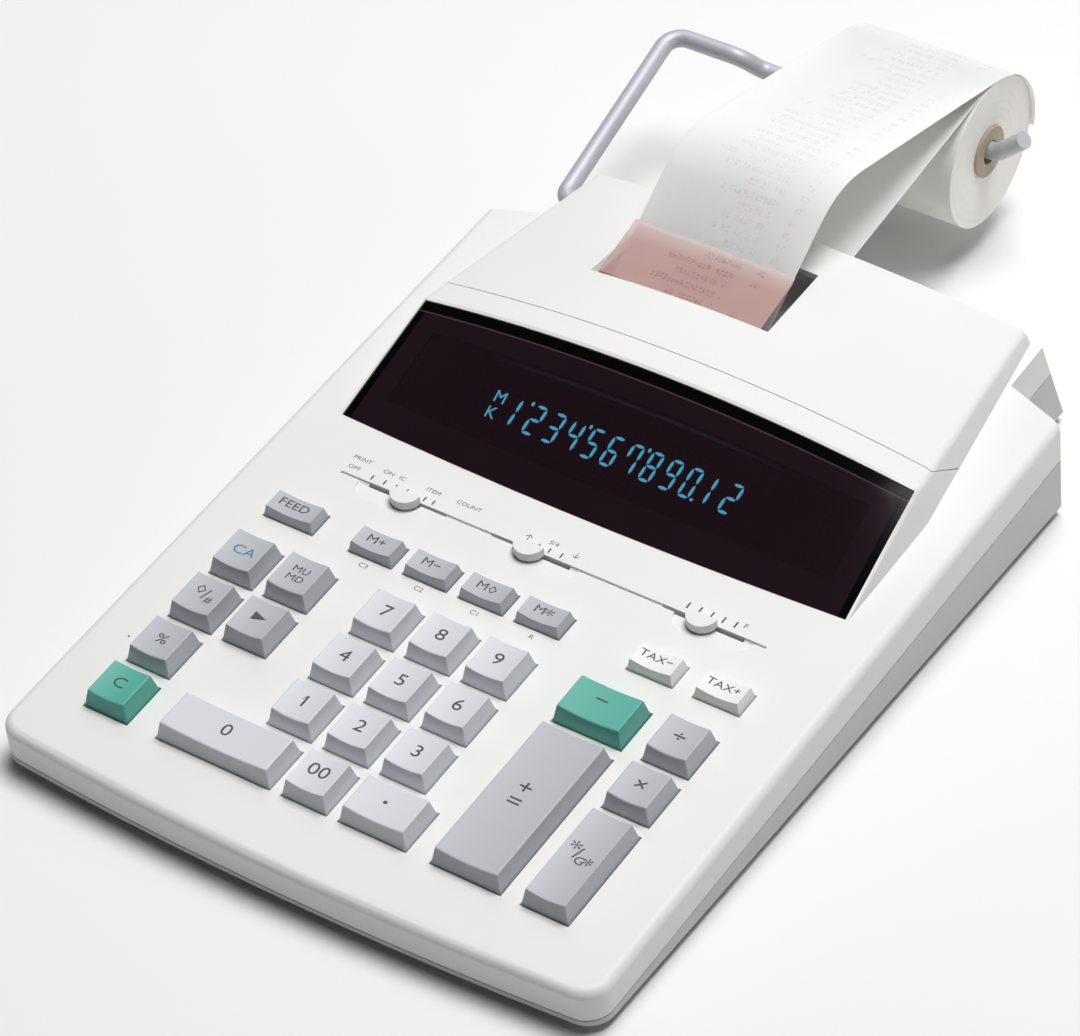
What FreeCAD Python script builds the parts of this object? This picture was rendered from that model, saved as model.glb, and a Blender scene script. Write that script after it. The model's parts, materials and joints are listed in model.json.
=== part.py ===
"""Desktop printing calculator with a sloped key deck, a fluorescent display and a paper roll on a wire arm.

Lengths are millimetres and angles are degrees. X is right, Y is back and Z is up. Most pieces are drawn in
the deck's own frame: u to the right, v back along the sloped deck from its front edge, w out of the deck.
"""
import FreeCAD, Part
import Sketcher
import math
import os

from FreeCAD import Placement, Rotation, Vector

SIZES = {
    # Case
    "case_width": 210.0, "front_bow": 4.3, "front_corner": 8.5, "edge_round": 3.0,
    "deck_slope": 4.7, "deck_front_height": 16.0, "deck_thickness": 2.5, "wall": 2.5, "floor_thickness": 2.5,
    "seam_drop": 11.0, "seam_tilt": 0.8, "seam_gap": 0.4,
    "bay_length": 68.7, "rim_setback": 22.6, "rim_slant": 8.0, "block_inset": 21.5, "rear_lean": 18.0,
    "foot_height": 3.0, "foot_radius": 7.0, "foot_inset": 20.0,
    "screw_inset": 8.0, "screw_radius": 1.4, "screw_gap": 0.1, "screw_head": 2.8, "screw_head_height": 1.4,
    "boss_radius": 3.6,
    # Raised housing over the display and the printer
    "housing_setback": 16.3, "hump_sink": 0.8, "hump_front_crown": 0.4, "hump_inset": 13.7,
    "hump_inset_rear": 25.0,
    "side_lean": 10.0, "display_run": 49.7, "crown_rise": 21.0, "side_rise": 13.2, "crown_rise_rear": 14.2,
    "side_rise_rear": 6.3, "crease_round": 2.5, "front_shoulder": 0.1,
    "seam_setback": 9.2, "cover_foot_setback": 15.1, "cover_gap": 0.3, "cover_wall": 2.2, "cover_ledge": 4.0,
    # Display
    "lens_inset": 2.2, "lens_bow": 2.4, "lens_thickness": 1.6, "lens_recess": 0.3, "lens_margin": 1.2,
    "lens_gap": 0.2, "lens_ledge": 9.0, "housing_wall": 2.6, "housing_skirt": 9.0,
    "tube_length": 130.0, "tube_height": 24.0, "tube_thickness": 6.0, "tube_depth": 10.0, "tray_wall": 2.0,
    # Keys
    "key_pitch_x": 20.0, "key_pitch_y": 20.5, "key_spacing": 4.4, "key_height": 6.3, "key_taper": 11.5,
    "key_dish": 0.8, "key_wall": 1.6, "key_gap": 0.4, "skirt_depth": 4.2,
    "flange": 0.8, "flange_thickness": 1.3, "stem_radius": 2.4, "stem_length": 5.2,
    "small_key_depth": 8.9, "small_key_height": 4.0, "zero_key_width": 40.7, "point_key_width": 23.2,
    "plus_key_width": 23.6, "feed_key_width": 18.0,
    "front_row": 31.2, "memory_gap": 24.0, "left_column": -78.0, "numeric_column": -26.5,
    "memory_column": -46.5, "plus_column": 49.2, "operator_column": 75.85, "tax_column": 52.8,
    "tax_pitch": 22.8,
    # Boards behind the keys
    "dome_height": 3.4, "dome_radius": 4.0, "dome_sheet_thickness": 0.8, "dome_sheet_margin": 6.0,
    "seat_gap": 0.3,
    "board_thickness": 1.6, "board_lead": 10.7, "board_tail": 8.3, "board_inset": 9.0,
    "main_board_drop": 17.0, "main_board_lead": 3.0, "main_board_tail": 1.3, "main_board_inset": 19.0,
    "post_radius": 3.0,
    # Slide switches
    "slit_gap": 22.0, "slit_length": 152.0, "slit_width": 1.2, "slit_depth": 0.8,
    "slider_left": -51.4, "slider_middle": -6.4, "slider_right": 54.4, "slider_radius": 5.0,
    "slider_height": 3.0, "slider_stem": 3.0, "slider_stem_depth": 0.8, "slot_reach": 12.6,
    "left_travel": 12.0, "middle_travel": 12.0, "right_travel": 12.0, "right_return": 4.0,
    "scoop_depth": 1.0, "scoop_width": 6.4, "scoop_margin": 0.6, "switch_length": 32.0,
    "switch_depth": 6.0, "switch_height": 3.4,
    # Paper path
    "paper_width": 57.0, "paper_thickness": 0.3, "paper_centre": -16.4, "paper_gap": 0.4,
    "paper_setback": 2.0, "tear_lift": 4.5, "paper_rise": 36.0, "paper_fall": 13.5, "crest_radius": 28.0,
    "roll_radius": 26.0, "roll_face": 18.3, "roll_setback": 85.9, "roll_drop": 9.4, "tape_tail": 15.0,
    "core_radius": 8.8, "core_wall": 4.6, "joint_lead": 10.0,
    # Tear window
    "window_setback": 23.5, "window_depth": 22.6, "window_width": 59.0, "window_thickness": 1.5,
    "window_sink": 2.2, "window_lift": 4.4, "window_gap": 0.25, "opening_flare": 6.0, "opening_depth": 31.6,
    "inlet_height": 7.0, "inlet_margin": 4.0,
    # Wire arm
    "wire_radius": 3.0, "wire_bend": 6.0, "pivot_setback": 0.9, "pivot_drop": 8.6, "pivot_gap": 0.08,
    "pivot_boss": 5.0, "pivot_boss_radius": 4.9, "pivot_bend": 4.4, "wire_standoff": 8.4,
    "arm_flare": 8.6, "arm_crook": 5.0,
    "arm_kink": 7.0, "arm_shoulder": 27.0, "arm_jog": 5.0, "axle_end": 2.6, "arm_free_end": 10.0,
    "arm_tip_rise": 9.2,
    # Printer
    "feed_radius": 5.0, "feed_lead": 19.0, "shaft_radius": 1.5, "shaft_gap": 0.06,
    "drum_radius": 5.0, "drum_angle": 165.0, "ink_radius": 4.8, "ink_angle": 160.0, "running_gap": 0.3,
    "frame_margin": 7.5, "frame_plate": 1.6, "frame_drop": 22.0, "frame_top": 12.4, "frame_lead": 4.1,
    "frame_tail": 3.0, "gear_module": 0.8, "gear_teeth": 26, "pinion_teeth": 10, "gear_width": 3.0,
    "motor_angle": -110.0, "motor_radius": 6.5, "motor_length": 24.0, "motor_shaft": 1.0,
    # Mains parts
    "transformer_width": 44.0, "transformer_depth": 34.0, "transformer_height": 24.0, "transformer_inset": 47.0,
    "transformer_setback": 42.6, "gland_radius": 5.0, "gland_inset": 27.5, "gland_drop": 22.0,
    "gland_collar": 1.6, "gland_seat": 2.4, "gland_hole": 3.2,
}

doc = FreeCAD.newDocument("printing_calculator")
sheet = doc.addObject("Spreadsheet::Sheet", "sizes")
for number, (alias, value) in enumerate(SIZES.items(), start=1):
    sheet.set(f"A{number}", alias)
    sheet.set(f"B{number}", str(value))
    sheet.setAlias(f"B{number}", alias)
doc.recompute()


def size(alias):
    """The value of one driving dimension, read from the sheet."""
    return float(getattr(sheet, alias))


def sine(degrees):
    return math.sin(math.radians(degrees))


def cosine(degrees):
    return math.cos(math.radians(degrees))


def tangent(degrees):
    return math.tan(math.radians(degrees))


ALONG_U = Vector(1, 0, 0)
ALONG_W = Vector(0, 0, 1)
SLOPE = size("deck_slope")
CASE_HALF = size("case_width") / 2
BLOCK_HALF = CASE_HALF - size("block_inset")
HUMP_HALF = CASE_HALF - size("hump_inset")
HUMP_HALF_REAR = CASE_HALF - size("hump_inset_rear")

# Places along the deck, each set back from the one before it
TOP_ROW = size("front_row") + 3 * size("key_pitch_y")
MEMORY_ROW = TOP_ROW + size("memory_gap")
SLIT = MEMORY_ROW + size("slit_gap")
HUMP_FRONT = SLIT + size("housing_setback")
CROWN_START = HUMP_FRONT + size("display_run")
COVER_SEAM = CROWN_START + size("seam_setback")
BLOCK_REAR = COVER_SEAM + size("bay_length")
RIM_END = BLOCK_REAR - size("rim_setback")
WINDOW_FRONT = COVER_SEAM + size("window_setback")
WINDOW_REAR = WINDOW_FRONT + size("window_depth")
OPENING_REAR = WINDOW_FRONT + size("opening_depth")
TEAR_LINE = WINDOW_REAR + size("paper_setback")
PIVOT_BACK = BLOCK_REAR + size("pivot_setback")
ROLL_BACK = BLOCK_REAR + size("roll_setback")
FRAME_FRONT = COVER_SEAM + size("frame_lead")
FRAME_REAR = TEAR_LINE - size("frame_tail")
BOARD_FRONT = size("front_row") - size("board_lead")
BOARD_REAR = SLIT + size("board_tail")
MAIN_BOARD_FRONT = HUMP_FRONT - size("main_board_lead")
MAIN_BOARD_REAR = CROWN_START + size("main_board_tail")
GLAND_PLACE = BLOCK_HALF - size("gland_inset")
FAR = ROLL_BACK + size("roll_radius")
DEEP = CASE_HALF

# The whole object's length runs from the front of the deck's rounding to the tape behind the roll.
FRONT_REACH = size("edge_round") * (cosine(SLOPE) + sine(SLOPE) - 1)
REAR_REACH = (ROLL_BACK * cosine(SLOPE) + size("roll_drop") * sine(SLOPE)
              + size("roll_radius") + size("paper_gap") + size("paper_thickness"))
FRONT_Y = -(FRONT_REACH + REAR_REACH) / 2
DECK = Placement(Vector(0, FRONT_Y, size("deck_front_height")), Rotation(ALONG_U, SLOPE))

KEY_WIDTH = size("key_pitch_x") - size("key_spacing")
KEY_DEPTH = size("key_pitch_y") - size("key_spacing")
DOME_TOP = -(size("stem_length") + size("seat_gap"))
SHEET_TOP = DOME_TOP - size("dome_height")
BOARD_TOP = SHEET_TOP - size("dome_sheet_thickness")
BOARD_BOTTOM = BOARD_TOP - size("board_thickness")

subparts = []


def keep(thing, label, placement=DECK):
    """Name a sub-part, place it and put it on the list of pieces to write."""
    thing.Label = label
    thing.Placement = placement
    subparts.append(thing)
    return thing


def shaped(label, shape, placement=DECK):
    """A sub-part whose shape is worked out here with solid modelling functions."""
    feature = doc.addObject("Part::Feature", label)
    feature.Shape = shape
    return keep(feature, label, placement)


def on_deck(u, v, w, tilt=0.0):
    """The placement of a piece whose own origin is at a point of the deck's frame."""
    return DECK.multiply(Placement(Vector(u, v, w), Rotation(ALONG_U, tilt)))


def deck_level(height, v):
    """The w of a height above the table, at a place along the deck."""
    return (height - size("deck_front_height") - v * sine(SLOPE)) / cosine(SLOPE)


def polygon(points):
    return Part.makePolygon([Vector(*point) for point in points + points[:1]])


def slab(points, low, high):
    """A plan outline in u, v extruded between two levels of w."""
    return Part.Face(polygon([(u, v, low) for u, v in points])).extrude(Vector(0, 0, high - low))


def profile(points, left, right):
    """A side outline in v, w extruded between two places of u."""
    return Part.Face(polygon([(left, v, w) for v, w in points])).extrude(Vector(right - left, 0, 0))


def rectangle(centre_u, centre_v, width, depth):
    left, right = centre_u - width / 2, centre_u + width / 2
    front, rear = centre_v - depth / 2, centre_v + depth / 2
    return [(left, front), (right, front), (right, rear), (left, rear)]


def rod(u_start, u_end, v, w, radius):
    """A round bar along u."""
    return Part.makeCylinder(radius, u_end - u_start, Vector(u_start, v, w), ALONG_U)


def post(u, v, low, high, radius):
    """A round bar along w."""
    return Part.makeCylinder(radius, high - low, Vector(u, v, low), ALONG_W)


def above(line):
    """All that lies above a line w(v), right across the part."""
    front, rear = -DEEP, FAR + DEEP
    return profile([(front, line(front)), (rear, line(rear)), (rear, DEEP), (front, DEEP)],
                   -2 * CASE_HALF, 2 * CASE_HALF)


def seam_line(v):
    return -size("seam_drop") - v * tangent(size("seam_tilt"))


def lower_seam_line(v):
    return seam_line(v) - size("seam_gap")


def bottom_line(v):
    return deck_level(size("foot_height"), v)


def floor_line(v):
    return deck_level(size("foot_height") + size("floor_thickness"), v)


# Case and raised housing

def rear_wall(w, inset=0.0):
    """The v of the leaning rear wall at a level of w."""
    return BLOCK_REAR - inset + (size("crown_rise_rear") - w) * tangent(size("rear_lean"))


def behind_rear_wall(inset=0.0):
    return profile([(rear_wall(DEEP, inset), DEEP), (FAR + DEEP, DEEP), (FAR + DEEP, -DEEP),
                    (rear_wall(-DEEP, inset), -DEEP)], -2 * CASE_HALF, 2 * CASE_HALF)


def case_block(inset, top):
    """The case as one block below a level of w, drawn in by a wall's thickness."""
    half = CASE_HALF - inset
    bow_radius = CASE_HALF ** 2 / (2 * size("front_bow")) + size("front_bow") / 2
    corner_v = bow_radius - math.sqrt((bow_radius - inset) ** 2 - half ** 2)
    left, right = Vector(-half, corner_v, -DEEP), Vector(half, corner_v, -DEEP)
    far_left, far_right = Vector(-half, FAR, -DEEP), Vector(half, FAR, -DEEP)
    outline = Part.Wire([
        Part.Arc(left, Vector(0, inset, -DEEP), right).toShape(),
        Part.makeLine(right, far_right), Part.makeLine(far_right, far_left), Part.makeLine(far_left, left)])
    block = Part.Face(outline).extrude(Vector(0, 0, DEEP + top))
    corners = [edge for edge in block.Edges
               if edge.BoundBox.ZLength > DEEP / 2 and edge.BoundBox.YMax < FAR / 2]
    block = block.makeFillet(size("front_corner") - inset, corners)
    if inset == 0:
        rim = [edge for edge in block.Edges if edge.BoundBox.ZLength < 1 and edge.BoundBox.ZMin > top - 1
               and edge.BoundBox.YMin < FAR / 2]
        block = block.makeFillet(size("edge_round"), rim)
    rim_end = RIM_END - inset
    inner_end = rim_end + size("rim_slant")
    block_half = BLOCK_HALF - inset
    plan = [(-CASE_HALF, -DEEP), (CASE_HALF, -DEEP), (CASE_HALF, rim_end), (block_half, inner_end),
            (block_half, FAR + DEEP), (-block_half, FAR + DEEP), (-block_half, inner_end), (-CASE_HALF, rim_end)]
    return block.common(slab(plan, -DEEP, DEEP)).cut(behind_rear_wall(inset))


def crown_level(v):
    """The housing's height on its middle line, behind the display."""
    share = (v - CROWN_START) / (BLOCK_REAR - CROWN_START)
    return size("crown_rise") + share * (size("crown_rise_rear") - size("crown_rise"))


def hump_section(v, drop, inset, foot):
    """One cross-section of the raised housing: a crowned top over two leaning sides with rounded shoulders."""
    start = CROWN_START
    lean = size("side_lean")
    if v < start:
        crown = -size("hump_sink")
        side = crown - size("hump_front_crown")
        base = HUMP_HALF
        shoulder = size("front_shoulder")
    else:
        share = (v - start) / (BLOCK_REAR - start)
        crown = crown_level(v)
        side = size("side_rise") + share * (size("side_rise_rear") - size("side_rise"))
        base = HUMP_HALF + share * (HUMP_HALF_REAR - HUMP_HALF)
        shoulder = size("crease_round")
    base -= inset
    crown -= drop
    side -= drop
    crease = base - side * tangent(lean)
    heel = base - foot * tangent(lean)
    # The shoulder's arc touches the leaning side and the crown's slope at the crease.
    crown_slope = math.degrees(2 * math.atan2(crown - side, crease))
    turn = 90 - lean - crown_slope
    corner = Vector(crease, v, side)
    upward = Vector(-sine(lean), 0, cosine(lean))
    across = Vector(-cosine(crown_slope), 0, sine(crown_slope))
    touch = shoulder * tangent(turn / 2)
    low = corner - upward * touch
    high = corner + across * touch
    middle = corner + (across - upward).normalize() * (shoulder / cosine(turn / 2) - shoulder)
    right_heel = Vector(heel, v, foot)
    left_heel, left_low, left_middle, left_high = [
        Vector(-point.x, point.y, point.z) for point in (right_heel, low, middle, high)]
    return Part.Wire([
        Part.makeLine(left_heel, right_heel), Part.makeLine(right_heel, low),
        Part.Arc(low, middle, high).toShape(),
        Part.Arc(high, Vector(0, v, crown), left_high).toShape(),
        Part.Arc(left_high, left_middle, left_low).toShape(), Part.makeLine(left_low, left_heel)])


def hump(drop=0.0, inset=0.0, foot=None):
    """The raised housing as a solid, lowered by a drop and drawn in at its sides by an inset."""
    if foot is None:
        foot = -size("housing_skirt")
    stations = [HUMP_FRONT, CROWN_START, rear_wall(foot) + size("wall")]
    return Part.makeLoft([hump_section(v, drop, inset, foot) for v in stations], True, True)


def cover_zone(gap):
    """All that lies behind the seam between the display housing and the printer cover."""
    seam, heel = COVER_SEAM + gap, COVER_SEAM + size("cover_foot_setback") + gap
    knee = size("side_rise") - size("crease_round") / 2
    return profile([(seam, DEEP), (seam, knee), (heel, gap), (FAR, gap), (FAR, DEEP)], -CASE_HALF, CASE_HALF)


def lens_plan(grow, low, high):
    """The display window's outline in plan, as a block between two levels of w."""
    bottom = HUMP_HALF - size("lens_margin") + grow
    crease = HUMP_HALF - size("side_rise") * tangent(size("side_lean"))
    top = crease - size("lens_margin") + grow
    front = HUMP_FRONT + size("lens_inset") - grow
    rear = CROWN_START - size("lens_margin") + grow
    front_left = Vector(-bottom, front + size("lens_bow"), low)
    front_right = Vector(bottom, front + size("lens_bow"), low)
    rear_right, rear_left = Vector(top, rear, low), Vector(-top, rear, low)
    outline = Part.Wire([
        Part.Arc(front_left, Vector(0, front, low), front_right).toShape(),
        Part.makeLine(front_right, rear_right), Part.makeLine(rear_right, rear_left),
        Part.makeLine(rear_left, front_left)])
    return Part.Face(outline).extrude(Vector(0, 0, high - low))


def screw_places():
    """Where the screws join the case halves: near the four corners."""
    side = CASE_HALF - size("wall") - size("screw_inset")
    front = size("front_bow") + size("wall") + size("screw_inset")
    rear = RIM_END - size("wall") - size("screw_inset")
    return [(sign * side, v) for v in (front, rear) for sign in (-1, 1)]


def key_board_posts():
    """Where the lower case carries the key board: outside the keys."""
    side = CASE_HALF - size("wall") - size("board_inset") - size("post_radius")
    depth = BOARD_REAR - BOARD_FRONT
    return [(sign * side, BOARD_FRONT + share * depth) for share in (0.3, 0.9) for sign in (-1, 1)]


def main_board_posts():
    side = CASE_HALF - size("main_board_inset") - 2 * size("post_radius")
    front = MAIN_BOARD_FRONT + 2 * size("post_radius")
    rear = MAIN_BOARD_REAR - 2 * size("post_radius")
    return [(sign * side, v) for v in (front, rear) for sign in (-1, 1)]


def lower_case():
    shell = case_block(0, 0).common(above(bottom_line)).cut(above(lower_seam_line))
    shell = shell.cut(case_block(size("wall"), 0).common(above(floor_line)))
    carried = [(u, v, BOARD_BOTTOM) for u, v in key_board_posts()]
    carried += [(u, v, -size("main_board_drop") - size("board_thickness")) for u, v in main_board_posts()]
    carried += [(u, v, -size("frame_drop") - size("frame_plate")) for u, v in frame_posts()]
    sunk = size("floor_thickness") / 2
    posts = [post(u, v, floor_line(v) - sunk, top - size("seat_gap"), size("post_radius"))
             for u, v, top in carried]
    shell = shell.fuse(posts)
    holes = []
    for u, v in screw_places():
        holes.append(post(u, v, -DEEP, 0, size("screw_radius") + size("screw_gap")))
        holes.append(post(u, v, -DEEP, screw_head_top(v) + size("screw_gap"),
                          size("screw_head") + size("screw_gap")))
    v_rear = rear_wall(-size("gland_drop"))
    holes.append(Part.makeCylinder(size("gland_radius"), 4 * size("wall"),
                                   Vector(GLAND_PLACE, v_rear - 2 * size("wall"), -size("gland_drop")),
                                   Vector(0, 1, 0)))
    return shell.cut(holes)


def screw_head_top(v):
    """The level of a screw head's upper face, sunk in the floor from below."""
    return bottom_line(v) + size("screw_head_height")


def upper_case():
    shell = case_block(0, 0).common(above(seam_line))
    shell = shell.cut(case_block(size("wall"), -size("deck_thickness")))
    under_lens = size("lens_recess") + size("lens_thickness")
    seam, foot = COVER_SEAM, COVER_SEAM + size("cover_foot_setback")
    before_seam = slab([(-CASE_HALF, 0), (CASE_HALF, 0), (CASE_HALF, seam), (-CASE_HALF, seam)], -DEEP, DEEP)
    skirt_plan = slab([(-HUMP_HALF, 0), (HUMP_HALF, 0), (HUMP_HALF, seam), (-HUMP_HALF, seam)], -DEEP, 0)
    crown_plan = slab([(-CASE_HALF, 0), (CASE_HALF, 0), (CASE_HALF, foot), (-CASE_HALF, foot)],
                      -size("deck_thickness"), DEEP)
    housing = hump().cut(cover_zone(0))
    shell = shell.fuse([housing.common(crown_plan), housing.common(skirt_plan)])
    hollow = hump(under_lens + size("housing_wall"), size("housing_wall"), -size("seam_drop"))
    shell = shell.cut(hollow.common(before_seam))
    # A pocket takes the display window, with an opening for the tube inside a ledge.
    pocket = lens_plan(size("lens_gap"), -size("housing_skirt"), DEEP).cut(hump(under_lens + size("lens_gap")))
    opening = lens_plan(-size("lens_ledge"), -size("seam_drop"), DEEP)
    # The printer stands in a hole of the deck, inside a ledge that carries the cover.
    ledge = size("cover_ledge")
    half = HUMP_HALF_REAR - size("cover_wall") - ledge
    well_rear = BLOCK_REAR - ledge
    well = slab([(-half, seam), (half, seam), (half, well_rear), (-half, well_rear)], -size("seam_drop"), DEEP)
    shell = shell.cut([pocket, opening, well] + key_holes() + slider_cuts())
    bosses = []
    for u, v in screw_places():
        boss = post(u, v, floor_line(v) + size("seat_gap"), -size("deck_thickness") / 2, size("boss_radius"))
        bore = size("screw_radius") + size("screw_gap")
        bosses.append(boss.cut(post(u, v, -DEEP, -size("deck_thickness"), bore)))
    pivot_v, pivot_w = PIVOT_BACK, -size("pivot_drop")
    inner = -BLOCK_HALF + size("wall") + size("pivot_boss")
    bosses.append(rod(-BLOCK_HALF + size("wall") / 2, inner, pivot_v, pivot_w, size("pivot_boss_radius"))
                  .cut(behind_rear_wall(size("wall") / 2)))
    shell = shell.fuse(bosses)
    return shell.cut(rod(-CASE_HALF, inner, pivot_v, pivot_w, size("wire_radius") + size("pivot_gap")))


def printer_cover():
    gap = size("cover_gap")
    shell = hump().common(cover_zone(gap)).cut(behind_rear_wall())
    wall = size("cover_wall")
    hollow = hump(wall, wall, -size("seam_drop")).cut(behind_rear_wall(wall))
    shell = shell.cut(hollow)
    half = size("window_width") / 2
    front, rear = WINDOW_FRONT, OPENING_REAR
    low, high = crown_level(rear) - 2 * wall, crown_level(front) + 2 * wall

    def outline(flare, level):
        left, right = size("paper_centre") - half - flare, size("paper_centre") + half + flare
        return polygon([(left, front, level), (right, front, level), (right, rear, level), (left, rear, level)])

    opening = Part.makeLoft([outline(0, low), outline(size("opening_flare"), high)], True, True)
    inlet_half = size("paper_width") / 2 + size("inlet_margin")
    inlet_centre = paper_line(BLOCK_REAR)
    inlet = slab(rectangle(inlet_centre, BLOCK_REAR, 2 * inlet_half, 2 * size("inlet_height") + 4 * wall),
                 -wall, size("inlet_height"))
    return shell.cut([opening, inlet])


def display_window():
    top = size("lens_recess")
    block = lens_plan(0, -size("seam_drop"), DEEP)
    return block.common(hump(top)).cut(hump(top + size("lens_thickness"), 0, -size("seam_drop")))


def tear_window():
    front, rear = WINDOW_FRONT + size("window_gap"), WINDOW_REAR
    low = crown_level(front) - size("window_sink")
    high = low + size("window_lift")
    thick = size("window_thickness")
    # The cutting edge is bevelled along the paper.
    outline = [(front, low), (rear, high), (rear - thick / tangent(size("paper_rise")), high - thick),
               (front, low - thick)]
    half = size("window_width") / 2 - size("window_gap")
    return profile(outline, size("paper_centre") - half, size("paper_centre") + half)


# Keys and the boards behind them

class Key:
    """A key's place on the deck, and the rules for its size in terms of the sheet."""

    def __init__(self, label, u, v, wide=None, rows=1, small=False):
        self.label, self.u, self.v, self.small = label, u, v, small
        self.width_rule = f"sizes.{wide}" if wide else "sizes.key_pitch_x - sizes.key_spacing"
        self.width = size(wide) if wide else KEY_WIDTH
        if small:
            self.depth_rule, self.depth = "sizes.small_key_depth", size("small_key_depth")
            self.height_rule, self.height = "sizes.small_key_height", size("small_key_height")
        else:
            self.depth_rule = f"{rows} * sizes.key_pitch_y - sizes.key_spacing"
            self.depth = rows * size("key_pitch_y") - size("key_spacing")
            self.height_rule, self.height = "sizes.key_height", size("key_height")


def key_layout():
    pitch_x, pitch_y = size("key_pitch_x"), size("key_pitch_y")
    row = [size("front_row") + step * pitch_y for step in range(4)]
    digit_u = [size("numeric_column") + step * pitch_x for step in range(3)]
    left = size("left_column")
    plus, operator, memory_row = size("plus_column"), size("operator_column"), MEMORY_ROW
    keys = [Key(f"key_{digit}", digit_u[(digit - 1) % 3], row[(digit - 1) // 3 + 1]) for digit in range(1, 10)]
    zero_u = digit_u[0] + (KEY_WIDTH - size("zero_key_width")) / 2
    point_u = digit_u[2] + (size("point_key_width") - KEY_WIDTH) / 2
    feed_u = left + (size("feed_key_width") - KEY_WIDTH) / 2
    keys += [Key("key_0", zero_u, row[0], wide="zero_key_width"), Key("key_00", digit_u[1], row[0]),
             Key("key_point", point_u, row[0], wide="point_key_width"),
             Key("key_clear", left, row[0]), Key("key_percent", left, row[1]),
             Key("key_subtotal", left, row[2]), Key("key_clear_all", left, row[3]),
             Key("key_shift", left + pitch_x, row[2]), Key("key_markup", left + pitch_x, row[3]),
             Key("key_plus", plus, row[1], wide="plus_key_width", rows=3),
             Key("key_minus", plus, row[3], wide="plus_key_width"),
             Key("key_total", operator, (row[0] + row[1]) / 2, rows=2),
             Key("key_multiply", operator, row[2]), Key("key_divide", operator, row[3]),
             Key("key_feed", feed_u, memory_row, wide="feed_key_width", small=True)]
    for step, name in enumerate(("plus", "minus", "subtotal", "total")):
        keys.append(Key(f"key_memory_{name}", size("memory_column") + step * pitch_x, memory_row, small=True))
    for step, name in enumerate(("minus", "plus")):
        tax_u = size("tax_column") + step * size("tax_pitch")
        keys.append(Key(f"key_tax_{name}", tax_u, memory_row, small=True))
    return keys


KEYS = key_layout()


def plane(body, role):
    return next(feature for feature in body.Origin.OriginFeatures if feature.Role == role)


def sketch_on(body, name, role, level="0"):
    """A sketch on one of a body's own planes, raised to a level."""
    sketch = body.newObject("Sketcher::SketchObject", name)
    sketch.AttachmentSupport = [(plane(body, role), "")]
    sketch.MapMode = "FlatFace"
    sketch.setExpression("AttachmentOffset.Base.z", level)
    return sketch


def draw_rectangle(sketch, width_rule, depth_rule):
    """A rectangle about the sketch's origin."""
    corners = [Vector(-1, -1, 0), Vector(1, -1, 0), Vector(1, 1, 0), Vector(-1, 1, 0)]
    for step in range(4):
        sketch.addGeometry(Part.LineSegment(corners[step], corners[(step + 1) % 4]))
    for step in range(4):
        sketch.addConstraint(Sketcher.Constraint("Coincident", step, 2, (step + 1) % 4, 1))
        sketch.addConstraint(Sketcher.Constraint("Horizontal" if step % 2 == 0 else "Vertical", step))
    sketch.addConstraint(Sketcher.Constraint("Symmetric", 0, 1, 1, 2, -1, 1))
    width = sketch.addConstraint(Sketcher.Constraint("DistanceX", 0, 1, 0, 2, 2.0))
    depth = sketch.addConstraint(Sketcher.Constraint("DistanceY", 1, 1, 1, 2, 2.0))
    sketch.setExpression(f"Constraints[{width}]", width_rule)
    sketch.setExpression(f"Constraints[{depth}]", depth_rule)


def draw_circle(sketch, radius_rule, centre_rule="0"):
    """A circle on the sketch's upright axis."""
    sketch.addGeometry(Part.Circle(Vector(0, 1, 0), Vector(0, 0, 1), 1))
    sketch.addConstraint(Sketcher.Constraint("PointOnObject", 0, 3, -2))
    radius = sketch.addConstraint(Sketcher.Constraint("Radius", 0, 1.0))
    centre = sketch.addConstraint(Sketcher.Constraint("DistanceY", -1, 1, 0, 3, 1.0))
    sketch.setExpression(f"Constraints[{radius}]", radius_rule)
    sketch.setExpression(f"Constraints[{centre}]", centre_rule)


def pad(body, name, sketch, length_rule):
    feature = body.newObject("PartDesign::Pad", name)
    feature.Profile = sketch
    feature.setExpression("Length", length_rule)
    return feature


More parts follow.
